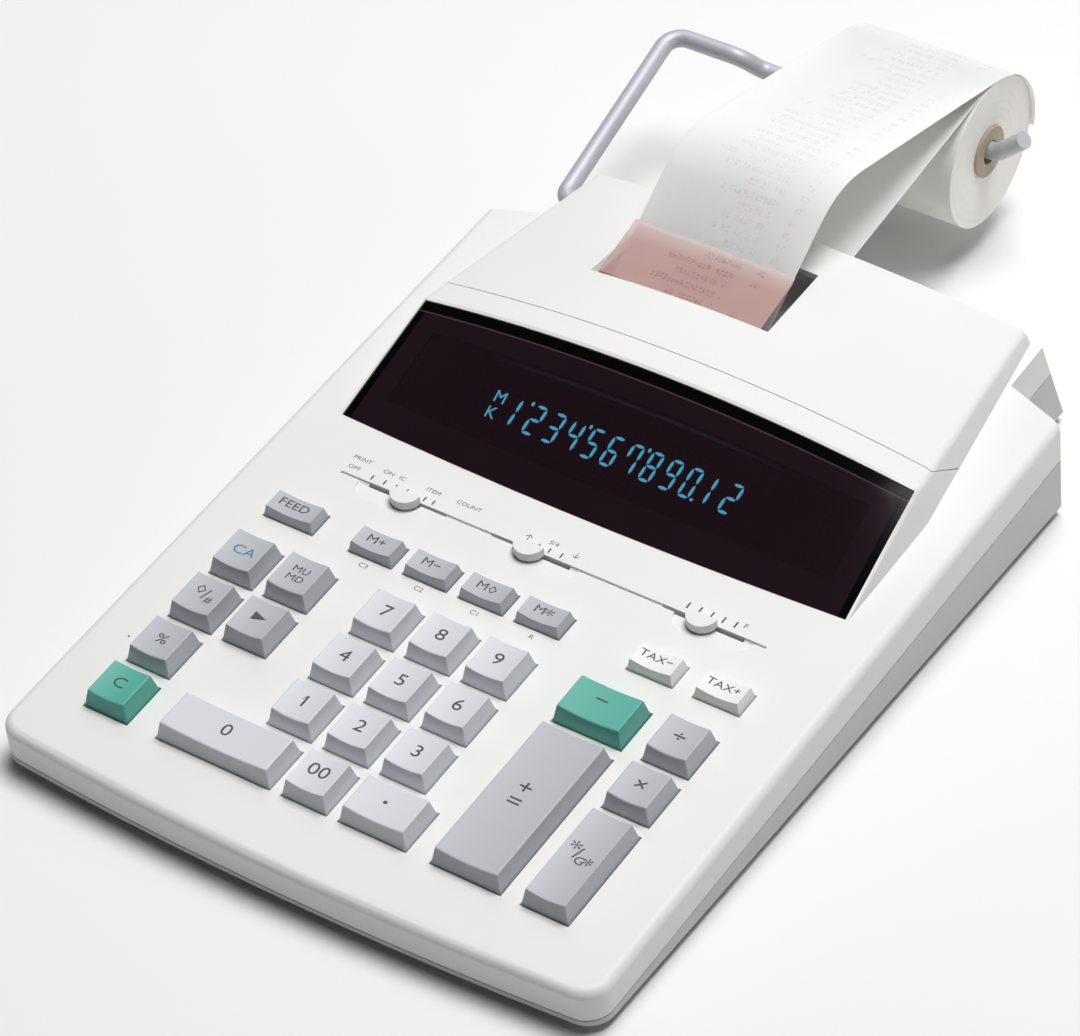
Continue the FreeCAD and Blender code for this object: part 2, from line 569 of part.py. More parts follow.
def key_cap(key):
    """A hollow cap with leaning sides, a dished top, a retaining flange and a stem over its dome."""
    body = doc.addObject("PartDesign::Body", key.label)
    name = key.label
    below = "-sizes.skirt_depth"
    sketch = sketch_on(body, f"{name}_flange_plan", "XY_Plane", below)
    draw_rectangle(sketch, f"{key.width_rule} + 2 * sizes.flange", f"{key.depth_rule} + 2 * sizes.flange")
    pad(body, f"{name}_flange", sketch, "sizes.flange_thickness")
    sketch = sketch_on(body, f"{name}_skirt_plan", "XY_Plane", below)
    draw_rectangle(sketch, key.width_rule, key.depth_rule)
    pad(body, f"{name}_skirt", sketch, "sizes.skirt_depth")
    sketch = sketch_on(body, f"{name}_cap_plan", "XY_Plane")
    draw_rectangle(sketch, key.width_rule, key.depth_rule)
    cap = pad(body, f"{name}_cap", sketch, key.height_rule)
    cap.setExpression("TaperAngle", "-sizes.key_taper")
    draw_in = f"{key.height_rule} * tan(sizes.key_taper)"
    chord = f"({key.width_rule} - 2 * {draw_in})"
    sketch = sketch_on(body, f"{name}_dish_arc", "XZ_Plane")
    dish_radius = f"({chord}^2 / (8 * sizes.key_dish) + sizes.key_dish / 2)"
    draw_circle(sketch, dish_radius, f"{key.height_rule} - sizes.key_dish + {dish_radius}")
    dish = body.newObject("PartDesign::Pocket", f"{name}_dish")
    dish.Profile = sketch
    dish.Type = "ThroughAll"
    dish.SideType = "Symmetric"
    roof = f"({key.height_rule} - sizes.key_dish - sizes.key_wall)"
    sketch = sketch_on(body, f"{name}_hollow_plan", "XY_Plane", below)
    inner = f"2 * (sizes.key_wall + {draw_in})"
    draw_rectangle(sketch, f"{key.width_rule} - {inner}", f"{key.depth_rule} - {inner}")
    hollow = body.newObject("PartDesign::Pocket", f"{name}_hollow")
    hollow.Profile = sketch
    hollow.Reversed = True
    hollow.setExpression("Length", f"sizes.skirt_depth + {roof}")
    sketch = sketch_on(body, f"{name}_stem_plan", "XY_Plane", "-sizes.stem_length")
    draw_circle(sketch, "sizes.stem_radius")
    pad(body, f"{name}_stem", sketch, f"sizes.stem_length + {roof} + sizes.key_wall / 2")
    return keep(body, key.label, on_deck(key.u, key.v, 0))


def key_holes():
    grow = 2 * size("key_gap")
    plans = [rectangle(key.u, key.v, key.width + grow, key.depth + grow) for key in KEYS]
    return [slab(plan, -2 * size("deck_thickness"), DEEP / 2) for plan in plans]


def dome_sheet():
    """One rubber sheet with a dome under each key's stem."""
    margin = size("dome_sheet_margin")
    left = min(key.u - key.width / 2 for key in KEYS) - margin / 2
    right = max(key.u + key.width / 2 for key in KEYS) + margin / 2
    rear = max(key.v + key.depth / 2 for key in KEYS) + margin / 2
    sheet_block = slab([(left, BOARD_FRONT), (right, BOARD_FRONT), (right, rear), (left, rear)],
                       BOARD_TOP, SHEET_TOP)
    base, tip, height = size("dome_radius"), size("stem_radius"), size("dome_height")
    domes = [Part.makeCone(base, tip, height, Vector(key.u, key.v, SHEET_TOP)) for key in KEYS]
    return sheet_block.fuse(domes)


def board(label, width_rule, depth_rule, placement):
    body = doc.addObject("PartDesign::Body", label)
    sketch = sketch_on(body, f"{label}_plan", "XY_Plane")
    draw_rectangle(sketch, width_rule, depth_rule)
    pad(body, f"{label}_plate", sketch, "sizes.board_thickness")
    return keep(body, label, placement)


# Slide switches

def slider_places():
    return [("left", size("slider_left")), ("middle", size("slider_middle")), ("right", size("slider_right"))]


def slider_knob(u):
    """A half-round thumb piece in front of the slit, with a stem down to its switch."""
    v, lift = SLIT, size("seat_gap")
    radius, height = size("slider_radius"), size("slider_height")
    disc = post(u, v, lift, lift + height, radius)
    back = v + size("slider_stem_depth") / 2
    disc = disc.common(slab(rectangle(u, back - radius, 2 * radius, 2 * radius), 0, 2 * height))
    stem = slab(rectangle(u, v, size("slider_stem"), size("slider_stem_depth")), switch_top() + lift, height)
    return disc.fuse(stem)


def switch_top():
    return BOARD_TOP + size("switch_height")


def slider_travels():
    """How far each knob goes from its place, to the left and to the right."""
    return {"left": (size("left_travel"), 0), "middle": (0, size("middle_travel")),
            "right": (size("right_return"), size("right_travel"))}


def slider_scoop(left, right):
    """A shallow ramp along a knob's way, deepest at the slit and rounded at its two ends."""
    width, depth = size("scoop_width"), size("scoop_depth")
    ramp = profile([(SLIT - width, 0), (SLIT, -depth), (SLIT, depth), (SLIT - width, depth)], left, right)
    middle = rectangle((left + right) / 2, SLIT - width / 2, right - left - 2 * width, width)
    ends = [post(end, SLIT, -depth, depth, width) for end in (left + width, right - width)]
    return ramp.common(slab(middle, -depth, depth).fuse(ends))


def slider_cuts():
    """The slit across the deck, a slot for each stem and a scoop before each knob."""
    slit_v = SLIT
    cuts = [slab(rectangle(0, slit_v, size("slit_length"), size("slit_width")), -size("slit_depth"), DEEP / 2)]
    reach = 2 * size("slot_reach") + size("slider_stem")
    beyond = size("slider_radius") + size("scoop_margin")
    for name, u in slider_places():
        cuts.append(slab(rectangle(u, slit_v, reach, size("slit_width")), -2 * size("deck_thickness"), DEEP / 2))
        back, forth = slider_travels()[name]
        cuts.append(slider_scoop(u - back - beyond, u + forth + beyond))
    return cuts


def slide_switches():
    plans = [rectangle(u, SLIT, size("switch_length"), size("switch_depth")) for name, u in slider_places()]
    return Part.makeCompound([slab(plan, BOARD_TOP, switch_top()) for plan in plans])


# Paper, roll and wire arm

def roll_centre():
    return size("roll_face") - size("paper_width") / 2


def paper_line(v):
    """The u of the paper's middle: it drifts a little from the printer to the roll."""
    drift = (roll_centre() - size("paper_centre")) / (ROLL_BACK - TEAR_LINE)
    return roll_centre() + drift * (v - ROLL_BACK)


def bend(before, corner, after, radius):
    """The arc that rounds a corner: its start, middle, end and centre."""
    into, out = (corner - before).normalize(), (after - corner).normalize()
    half_turn = into.getAngle(out) / 2
    touch = radius * math.tan(half_turn)
    inward = (out - into).normalize()
    centre = corner + inward * (radius / math.cos(half_turn))
    return corner - into * touch, centre - inward * radius, corner + out * touch, centre


def rounded_path(points, radii):
    """Straight runs joined by tangent arcs, as edges."""
    edges = []
    place = points[0]
    for before, corner, after, radius in zip(points, points[1:], points[2:], radii):
        start, middle, end, centre = bend(before, corner, after, radius)
        edges += [Part.makeLine(place, start), Part.Arc(start, middle, end).toShape()]
        place = end
    return edges + [Part.makeLine(place, points[-1])]


def strip(points, radii):
    """A paper strip's side outline in v, w: its middle line thickened to both sides."""
    half = size("paper_thickness") / 2

    def side(shift):
        edges = []
        first = (points[1] - points[0]).normalize()
        place = points[0] + Vector(0, -first.z, first.y) * shift
        for before, corner, after, radius in zip(points, points[1:], points[2:], radii):
            start, middle, end, centre = bend(before, corner, after, radius)
            leftward = (corner - before).cross(after - corner).x > 0
            scale = (radius - shift if leftward else radius + shift) / radius
            start, middle, end = [centre + (point - centre) * scale for point in (start, middle, end)]
            edges += [Part.makeLine(place, start), Part.Arc(start, middle, end).toShape()]
            place = end
        last = (points[-1] - points[-2]).normalize()
        tip = points[-1] + Vector(0, -last.z, last.y) * shift
        return edges + [Part.makeLine(place, tip)]

    near, far = side(half), side(-half)
    first_end = Part.makeLine(near[0].Vertexes[0].Point, far[0].Vertexes[0].Point)
    last_end = Part.makeLine(near[-1].Vertexes[-1].Point, far[-1].Vertexes[-1].Point)
    return Part.Face(Part.Wire(Part.__sortEdges__(near + far + [first_end, last_end])))


def strip_solid(points, radii):
    """A strip of paper, turned a little to follow its drift and swept across its width."""
    face = strip(points, radii)
    drift = math.degrees(math.atan2(roll_centre() - size("paper_centre"), ROLL_BACK - TEAR_LINE))
    face.rotate(Vector(0, ROLL_BACK, 0), ALONG_W, -drift)
    face.translate(Vector(size("roll_face") - size("paper_width"), 0, 0))
    return face.extrude(Vector(size("paper_width"), 0, 0))


PAPER_REACH = size("paper_gap") + size("paper_thickness") / 2
RISE, FALL = size("paper_rise"), size("paper_fall")
ROLL = Vector(0, ROLL_BACK, -size("roll_drop"))
TEAR = Vector(0, TEAR_LINE, crown_level(TEAR_LINE) + size("tear_lift"))
RISING = Vector(0, cosine(RISE), sine(RISE))
CONTACT = TEAR - RISING * (size("feed_lead") / cosine(RISE))
FEED = CONTACT + Vector(0, sine(RISE), -cosine(RISE)) * (size("feed_radius") + PAPER_REACH)


def web_line():
    """The straight run of paper from under the feed roller to the top of the roll: its two touching points."""
    feed_reach, roll_reach = size("feed_radius") + PAPER_REACH, size("roll_radius") + PAPER_REACH
    span = ROLL - FEED
    angle = math.atan2(span.z, span.y) + math.asin((feed_reach + roll_reach) / span.Length)
    down = Vector(0, math.sin(angle), -math.cos(angle))
    return FEED + down * feed_reach, ROLL - down * roll_reach


def crossing(point_a, way_a, point_b, way_b):
    """Where two lines in the plane of v and w meet."""
    gap = point_b - point_a
    along = (gap.y * way_b.z - gap.z * way_b.y) / (way_a.y * way_b.z - way_a.z * way_b.y)
    return point_a + way_a * along


def paper_tape():
    """The printed tape: round the feed roller, up past the tear window, over a crest and round the roll."""
    feed_reach, roll_reach = size("feed_radius") + PAPER_REACH, size("roll_radius") + PAPER_REACH
    low, high = web_line()
    web_way = (high - low).normalize()
    start = low + web_way * ((TEAR_LINE - size("joint_lead") - low.y) / web_way.y)
    turn_corner = crossing(low, web_way, TEAR, RISING)
    landing = ROLL + Vector(0, sine(FALL), cosine(FALL)) * roll_reach
    falling = Vector(0, cosine(FALL), -sine(FALL))
    crest = crossing(TEAR, RISING, landing, falling)
    # The tape leaves the roll's back a little below the height of its axis.
    tail = size("tape_tail")
    leaving = ROLL + Vector(0, cosine(tail), -sine(tail)) * roll_reach
    hanging = Vector(0, -sine(tail), -cosine(tail))
    over = crossing(landing, falling, leaving, hanging)
    end = leaving + hanging * size("paper_gap")
    return strip_solid([start, turn_corner, crest, over, end], [feed_reach, size("crest_radius"), roll_reach])


def paper_feed():
    low, high = web_line()
    web_way = (high - low).normalize()
    joint = TEAR_LINE - size("joint_lead") + size("seat_gap")
    start = low + web_way * ((joint - low.y) / web_way.y)
    return strip_solid([start, high], [])


def wire_arm():
    """A bent wire: a pivot end, a flaring leg, a shoulder, a kink and an axle with an upturned tip."""
    bore = size("core_radius") - size("core_wall")
    hang = bore - size("wire_radius") - size("seat_gap")
    axle_v, axle_w = ROLL.y + hang * sine(SLOPE), ROLL.z + hang * cosine(SLOPE)
    leg_u = -BLOCK_HALF - size("wire_standoff")
    pivot_v, pivot_w = PIVOT_BACK, -size("pivot_drop")
    elbow_u, elbow_v, elbow_w = leg_u - size("arm_flare"), axle_v - size("arm_crook"), axle_w + size("arm_kink")
    tip_u = size("roll_face") + size("axle_end")
    points = [Vector(-BLOCK_HALF + size("wall") + size("pivot_boss"), pivot_v, pivot_w),
              Vector(leg_u, pivot_v, pivot_w),
              Vector(elbow_u, elbow_v, elbow_w), Vector(elbow_u + size("arm_shoulder"), elbow_v, elbow_w),
              Vector(elbow_u + size("arm_shoulder") + size("arm_jog"), axle_v, axle_w),
              Vector(tip_u, axle_v, axle_w),
              Vector(tip_u + size("arm_free_end"), axle_v, axle_w + size("arm_tip_rise"))]
    spine = Part.Wire(rounded_path(points, [size("pivot_bend")] + [size("wire_bend")] * 4))
    ring = Part.Wire([Part.makeCircle(size("wire_radius"), points[0], points[1] - points[0])])
    wire = spine.makePipeShell([ring], True, False)
    expected = math.pi * size("wire_radius") ** 2 * spine.Length
    assert abs(wire.Volume - expected) < 0.01 * expected, "the wire's volume is off"
    return wire


def tube_of(outer, inner):
    """A ring as wide as the paper, on the roll's axis."""
    left, right = size("roll_face") - size("paper_width"), size("roll_face")
    return rod(left, right, ROLL.y, ROLL.z, outer).cut(rod(left, right, ROLL.y, ROLL.z, inner))


# Printer

FRAME_LEFT = size("paper_centre") - size("paper_width") / 2 - size("frame_margin")
FRAME_RIGHT = size("paper_centre") + size("paper_width") / 2 + size("frame_margin")
SHAFT_LEFT = FRAME_LEFT - size("frame_plate") - size("running_gap")
SHAFT_RIGHT = FRAME_RIGHT + size("frame_plate") + size("running_gap")
DRUM = FEED + Vector(0, cosine(size("drum_angle")), sine(size("drum_angle"))) * (
    size("feed_radius") + size("paper_gap") + size("paper_thickness") + size("running_gap") + size("drum_radius"))
INK = DRUM + Vector(0, cosine(size("ink_angle")), sine(size("ink_angle"))) * (
    size("drum_radius") + size("running_gap") + size("ink_radius"))
GEAR_RADIUS = size("gear_module") * size("gear_teeth") / 2
PINION_RADIUS = size("gear_module") * size("pinion_teeth") / 2
MOTOR = FEED + Vector(0, cosine(size("motor_angle")), sine(size("motor_angle"))) * (GEAR_RADIUS + PINION_RADIUS)


def frame_posts():
    inset = size("frame_plate") + size("post_radius")
    return [(u, v) for u in (FRAME_LEFT + inset, FRAME_RIGHT - inset)
            for v in (FRAME_FRONT + inset, FRAME_REAR - inset)]


def printer_frame():
    """Two side plates on a base plate, with a bearing hole for each shaft."""
    plate, low = size("frame_plate"), -size("frame_drop") - size("frame_plate")
    front, rear, top = FRAME_FRONT, FRAME_REAR, size("frame_top")
    side = [(front, low), (rear, low), (rear, FEED.z), (FEED.y + size("feed_radius"), top - size("feed_radius")),
            (FEED.y, top - size("feed_radius") / 2), (INK.y + size("ink_radius"), top), (front, top)]
    plates = [profile(side, FRAME_LEFT - plate, FRAME_LEFT), profile(side, FRAME_RIGHT, FRAME_RIGHT + plate)]
    base = slab([(FRAME_LEFT, front), (FRAME_RIGHT, front), (FRAME_RIGHT, rear), (FRAME_LEFT, rear)],
                low, -size("frame_drop"))
    bore = size("shaft_radius") + size("shaft_gap")
    holes = [rod(FRAME_LEFT - 2 * plate, FRAME_RIGHT + 2 * plate, axis.y, axis.z, bore)
             for axis in (FEED, DRUM, INK)]
    motor_bore = size("motor_shaft") + size("shaft_gap")
    holes.append(rod(FRAME_RIGHT - plate, FRAME_RIGHT + 2 * plate, MOTOR.y, MOTOR.z, motor_bore))
    return plates[0].fuse([plates[1], base]).cut(holes)


def roller(axis, radius, right_end):
    """A roller between the side plates, on a shaft that runs in both of them."""
    gap = size("running_gap")
    barrel = rod(FRAME_LEFT + gap, FRAME_RIGHT - gap, axis.y, axis.z, radius)
    return barrel.fuse(rod(SHAFT_LEFT, right_end, axis.y, axis.z, size("shaft_radius")))


def print_drum():
    """The drum of type wheels: a roller with a ring groove between each pair of wheels."""
    drum = roller(DRUM, size("drum_radius"), SHAFT_RIGHT)
    wheels = 12
    pitch = size("paper_width") / (wheels + 2)
    depth = size("drum_radius") / 6
    grooves = []
    for step in range(wheels + 1):
        u = size("paper_centre") + (step - wheels / 2) * pitch
        ring = rod(u, u + pitch / 5, DRUM.y, DRUM.z, size("drum_radius") + depth)
        grooves.append(ring.cut(rod(u, u + pitch / 5, DRUM.y, DRUM.z, size("drum_radius") - depth)))
    return drum.cut(grooves)


def gear(axis, teeth, start_angle, bore, u):
    """A spur gear with straight-flanked teeth and plenty of backlash."""
    module = size("gear_module")
    pitch_radius = module * teeth / 2
    tip, root = pitch_radius + 0.8 * module, pitch_radius - 1.1 * module
    step = 360 / teeth
    points = []
    for tooth in range(int(teeth)):
        middle = start_angle + tooth * step
        for share, radius in ((-0.30, root), (-0.10, tip), (0.10, tip), (0.30, root)):
            angle = middle + share * step
            points.append((axis.y + radius * cosine(angle), axis.z + radius * sine(angle)))
    wheel = profile(points, u, u + size("gear_width"))
    return wheel.cut(rod(u, u + size("gear_width"), axis.y, axis.z, bore))


GEAR_U = SHAFT_RIGHT


def printer_motor():
    body = rod(FRAME_RIGHT - size("seat_gap") - size("motor_length"), FRAME_RIGHT - size("seat_gap"),
               MOTOR.y, MOTOR.z, size("motor_radius"))
    shaft = rod(FRAME_RIGHT - size("motor_length") / 2, GEAR_U - size("running_gap") / 2, MOTOR.y, MOTOR.z,
                size("motor_shaft"))
    return body.fuse(shaft)


def motor_pinion():
    """The pinion with the end of its shaft, which runs in the motor's face."""
    facing = size("motor_angle") + 180 + 180 / size("pinion_teeth")
    wheel = gear(MOTOR, size("pinion_teeth"), facing, size("motor_shaft"), GEAR_U)
    return wheel.fuse(rod(GEAR_U, GEAR_U + size("gear_width"), MOTOR.y, MOTOR.z, size("motor_shaft")))


# Display tube, mains parts, feet and screws

def lens_tilt():
    rise = size("crown_rise") + size("hump_sink")
    return math.degrees(math.atan2(rise, CROWN_START - HUMP_FRONT))


def tube_place():
    """The middle of the tube's back face: behind the window's middle."""
    v = (HUMP_FRONT + size("lens_inset") + CROWN_START) / 2
    share = (v - HUMP_FRONT) / (CROWN_START - HUMP_FRONT)
    level = -size("hump_sink") + share * (size("crown_rise") + size("hump_sink"))
    return v, level - size("tube_depth") - size("tube_thickness")


def primitive(kind, name, placement, **rules):
    thing = doc.addObject(kind, name)
    thing.Placement = placement
    for field, rule in rules.items():
        thing.setExpression(field, rule)
    return thing


def display_tube():
    v, w = tube_place()
    lying = Placement(Vector(-size("tube_length") / 2, -size("tube_height") / 2, 0), Rotation())
    tube = primitive("Part::Box", "display_tube", lying, Length="sizes.tube_length", Width="sizes.tube_height",
                     Height="sizes.tube_thickness")
    return keep(tube, "display_tube", on_deck(0, v, w, lens_tilt()).multiply(lying))


def display_holder():
    """A tray under the tube on two legs that stand on the main board."""
    v, w = tube_place()
    wall, gap = size("tray_wall"), size("seat_gap")
    length, height = size("tube_length") + 2 * gap, size("tube_height") + 2 * gap
    tray = slab(rectangle(0, 0, length + 2 * wall, height + 2 * wall), -gap - wall, wall)
    tray = tray.cut(slab(rectangle(0, 0, length, height), -gap, 2 * wall))
    tray.Placement = Placement(Vector(0, v, w), Rotation(ALONG_U, lens_tilt()))
    foot = -size("main_board_drop") + gap
    legs = [slab(rectangle(sign * (length / 2 - wall), v, 2 * wall, height / 3), foot, w - wall)
            for sign in (-1, 1)]
    return tray.fuse(legs)


def transformer():
    """A laminated core with a bobbin through it, standing on the floor of the case."""
    width, depth, height = size("transformer_width"), size("transformer_depth"), size("transformer_height")
    core = Part.makeBox(width, depth / 2, height, Vector(-width / 2, -depth / 4, 0))
    bobbin = Part.makeBox(width / 2, depth, height / 2, Vector(-width / 4, -depth / 2, height / 4))
    return core.fuse(bobbin)


def standing(u, v, height):
    """An upright placement at a place of the deck's plan and a height above the table."""
    return Placement(Vector(u, FRONT_Y + v * cosine(SLOPE), height), Rotation())


def rubber_feet():
    side = CASE_HALF - size("foot_inset")
    front, rear = size("front_bow") + size("foot_inset"), RIM_END - size("foot_inset")
    feet = []
    for step, (u, v) in enumerate([(sign * side, v) for v in (front, rear) for sign in (-1, 1)]):
        feet.append(primitive("Part::Cylinder", f"foot_{step}", standing(u, v, 0), Radius="sizes.foot_radius",
                              Height="sizes.foot_height"))
    group = doc.addObject("Part::Compound", "rubber_feet")
    group.Links = feet
    return keep(group, "rubber_feet", Placement())


def case_screws():
    screws = []
    for u, v in screw_places():
        top = screw_head_top(v)
        head = post(u, v, top - size("screw_head_height") / 2, top, size("screw_head"))
        shank = post(u, v, top, -size("deck_thickness") - size("screw_head_height"), size("screw_radius"))
        screws.append(head.fuse(shank))
    return Part.makeCompound(screws)


def cord_gland():
    """A rubber gland in the rear wall, with a collar outside and a blind hole for the cord."""
    u, v, w = GLAND_PLACE, rear_wall(-size("gland_drop")), -size("gland_drop")
    wall, collar, radius = size("wall"), size("gland_collar"), size("gland_radius")
    back = Vector(0, 1, 0)
    outside = v + size("gland_seat")
    inner = Vector(u, v - 2 * wall, w)
    barrel = Part.makeCylinder(radius - size("screw_gap"), outside - v + 2 * wall, inner, back)
    ring = Part.makeCylinder(radius + collar, collar, Vector(u, outside, w), back)
    hole = Part.makeCylinder(size("gland_hole"), 2 * collar, Vector(u, outside - collar, w), back)
    return barrel.fuse(ring).cut(hole)


# Assembly

shaped("lower_case", lower_case())
shaped("upper_case", upper_case())
shaped("printer_cover", printer_cover())
shaped("display_window", display_window())
shaped("tear_window", tear_window())
shaped("paper_arm", wire_arm())
shaped("paper_roll", tube_of(size("roll_radius"), size("core_radius")))
shaped("roll_core", tube_of(size("core_radius"), size("core_radius") - size("core_wall")))
shaped("paper_tape", paper_tape())
shaped("paper_feed", paper_feed())
for place, slider_u in slider_places():
    shaped(f"slider_{place}", slider_knob(slider_u))
shaped("slide_switches", slide_switches())
for key in KEYS:
    key_cap(key)
shaped("dome_sheet", dome_sheet())
board("key_board", "sizes.case_width - 2 * sizes.wall - 2 * sizes.board_inset",
      "3 * sizes.key_pitch_y + sizes.memory_gap + sizes.slit_gap + sizes.board_lead + sizes.board_tail",
      on_deck(0, (BOARD_FRONT + BOARD_REAR) / 2, BOARD_BOTTOM))
board("main_board", "sizes.case_width - 2 * sizes.main_board_inset",
      "sizes.display_run + sizes.main_board_lead + sizes.main_board_tail",
      on_deck(0, (MAIN_BOARD_FRONT + MAIN_BOARD_REAR) / 2, -size("main_board_drop") - size("board_thickness")))
display_tube()
shaped("display_holder", display_holder())
shaped("printer_frame", printer_frame())
shaped("feed_roller", roller(FEED, size("feed_radius"), GEAR_U + size("gear_width")))
shaped("roller_gear", gear(FEED, size("gear_teeth"), size("motor_angle"), size("shaft_radius"), GEAR_U))
shaped("print_drum", print_drum())
shaped("ink_roller", roller(INK, size("ink_radius"), SHAFT_RIGHT))
shaped("printer_motor", printer_motor())
shaped("motor_pinion", motor_pinion())
shaped("transformer", transformer(), standing(CASE_HALF - size("transformer_inset"),
                                               BLOCK_REAR - size("transformer_setback"),
                                               size("foot_height") + size("floor_thickness")))
rubber_feet()
shaped("case_screws", case_screws())
shaped("cord_gland", cord_gland())

doc.recompute()
failed = [thing.Name for thing in doc.Objects if "Invalid" in thing.State or "Error" in thing.State]
assert not failed, f"features that failed: {failed}"
for thing in subparts:
    assert not thing.Shape.isNull() and thing.Shape.isValid(), f"{thing.Label} has no sound shape"
os.makedirs("parts", exist_ok=True)
for thing in subparts:
    thing.Shape.exportStep(os.path.join("parts", f"{thing.Label}.step"))
    print(thing.Label, len(thing.Shape.Solids), round(thing.Shape.Volume, 1))
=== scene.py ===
import json
import math

import bpy
from mathutils import Matrix, Quaternion, Vector
from mathutils.bvhtree import BVHTree


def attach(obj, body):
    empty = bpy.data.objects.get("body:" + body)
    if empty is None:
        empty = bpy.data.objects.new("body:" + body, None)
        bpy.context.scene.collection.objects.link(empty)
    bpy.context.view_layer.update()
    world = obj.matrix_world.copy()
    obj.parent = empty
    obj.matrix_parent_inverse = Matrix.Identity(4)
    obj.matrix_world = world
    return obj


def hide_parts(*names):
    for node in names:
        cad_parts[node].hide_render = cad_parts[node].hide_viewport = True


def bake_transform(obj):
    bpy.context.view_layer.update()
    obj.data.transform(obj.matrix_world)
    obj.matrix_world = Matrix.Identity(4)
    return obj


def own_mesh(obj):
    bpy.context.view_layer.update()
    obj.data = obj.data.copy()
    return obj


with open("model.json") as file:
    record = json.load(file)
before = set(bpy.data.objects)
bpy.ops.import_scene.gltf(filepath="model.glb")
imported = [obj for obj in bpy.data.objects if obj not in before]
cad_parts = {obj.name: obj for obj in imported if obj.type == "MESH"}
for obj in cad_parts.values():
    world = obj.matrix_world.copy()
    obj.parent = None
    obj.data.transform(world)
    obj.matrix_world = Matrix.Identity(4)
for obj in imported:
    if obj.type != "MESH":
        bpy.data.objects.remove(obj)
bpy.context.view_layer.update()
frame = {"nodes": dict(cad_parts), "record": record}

RECORD = frame["record"]
BODY_OF = {node: body for body, nodes in RECORD["behaviour"]["bodies"].items() for node in nodes}
SLOT_OF = {part["node"]: part["material_slot"] for part in RECORD["subparts"]}

# Places on the sloped deck are in millimetres: u to the right, v back along the deck, w out of it.
MILLIMETRE, METRE = 0.001, 1000.0
ORIGIN = (0.0, 0.0, 0.0)
DECK_SLOPE = math.radians(4.7)
DECK_FRONT = Vector((0.0, -0.197483, 0.016))
DECK_TURN = Matrix.Rotation(DECK_SLOPE, 4, "X")
DECK = Matrix.Translation(DECK_FRONT) @ DECK_TURN @ Matrix.Scale(MILLIMETRE, 4)
DECK_UP = DECK.to_3x3() @ Vector((0.0, 0.0, 1.0))


def at(u, v, w=0.0):
    """A point of the deck's frame, in the part's frame."""
    return DECK @ Vector((u, v, w))


def deck_box(node):
    """A node's lowest and highest places in the deck's frame."""
    places = [DECK.inverted() @ vertex.co for vertex in frame["nodes"][node].data.vertices]
    return [Vector([pick(place[axis] for place in places) for axis in range(3)]) for pick in (min, max)]


def deck_middle(node):
    """The middle of a node on the deck, in u and v."""
    low, high = deck_box(node)
    return (low.x + high.x) / 2.0, (low.y + high.y) / 2.0


# Camera and lights, in metres

CAMERA_PLACE = Vector((0.61262, -0.89934, 0.94636))
CAMERA_TARGET = Vector((-0.00354, -0.05737, 0.040))
CAMERA_ROLL = math.radians(-3.288)
CAMERA_LENS, CAMERA_SENSOR, CAMERA_REACH = 155.98, 36.0, 20.0

DECK_MIDDLE, ROLL_END = Vector((0.0, -0.03, 0.03)), Vector((0.03, 0.17, 0.09))
# Kind, place, target, a panel's side or a far light's angle, and strength.
LIGHTS = {
    "key_light": ("AREA", (0.2, 0.27, 1.55), DECK_MIDDLE, 0.8, 16.5),
    "far_light": ("SUN", (0.1, 0.3, 1.5), DECK_MIDDLE, math.radians(35.0), 1.1),
    "back_light": ("AREA", (-0.6, 0.9, 1.1), DECK_MIDDLE, 0.9, 2.8),
    "right_light": ("AREA", (0.55, 0.55, 0.22), ROLL_END, 0.3, 0.6),
}
SKY_STRENGTH = 0.05


def aimed(place, target, roll=0.0):
    """Where a camera or a light stands, looking at a target."""
    turn = (target - place).to_track_quat("-Z", "Y") @ Quaternion((0.0, 0.0, 1.0), roll)
    return Matrix.Translation(place) @ turn.to_matrix().to_4x4()


def add_camera():
    data = bpy.data.cameras.new("camera")
    data.sensor_fit = "HORIZONTAL"
    data.sensor_width = CAMERA_SENSOR
    data.lens = CAMERA_LENS
    data.clip_end = CAMERA_REACH
    camera = bpy.data.objects.new("camera", data)
    bpy.context.collection.objects.link(camera)
    camera.matrix_world = aimed(CAMERA_PLACE, CAMERA_TARGET, CAMERA_ROLL)
    bpy.context.scene.camera = camera


def add_studio():
    for name, (kind, place, target, spread, strength) in LIGHTS.items():
        data = bpy.data.lights.new(name, kind)
        if kind == "SUN":
            data.angle = spread
        else:
            data.size = spread
        data.energy = strength
        light = bpy.data.objects.new(name, data)
        bpy.context.collection.objects.link(light)
        light.matrix_world = aimed(Vector(place), target)
    world = bpy.data.worlds.new("studio")
    bpy.context.scene.world = world
    world.use_nodes = True
    background = world.node_tree.nodes["Background"]
    background.inputs["Color"].default_value = (1.0, 1.0, 1.0, 1.0)
    background.inputs["Strength"].default_value = SKY_STRENGTH
    bpy.context.scene.view_settings.view_transform = "Standard"


# Finishes

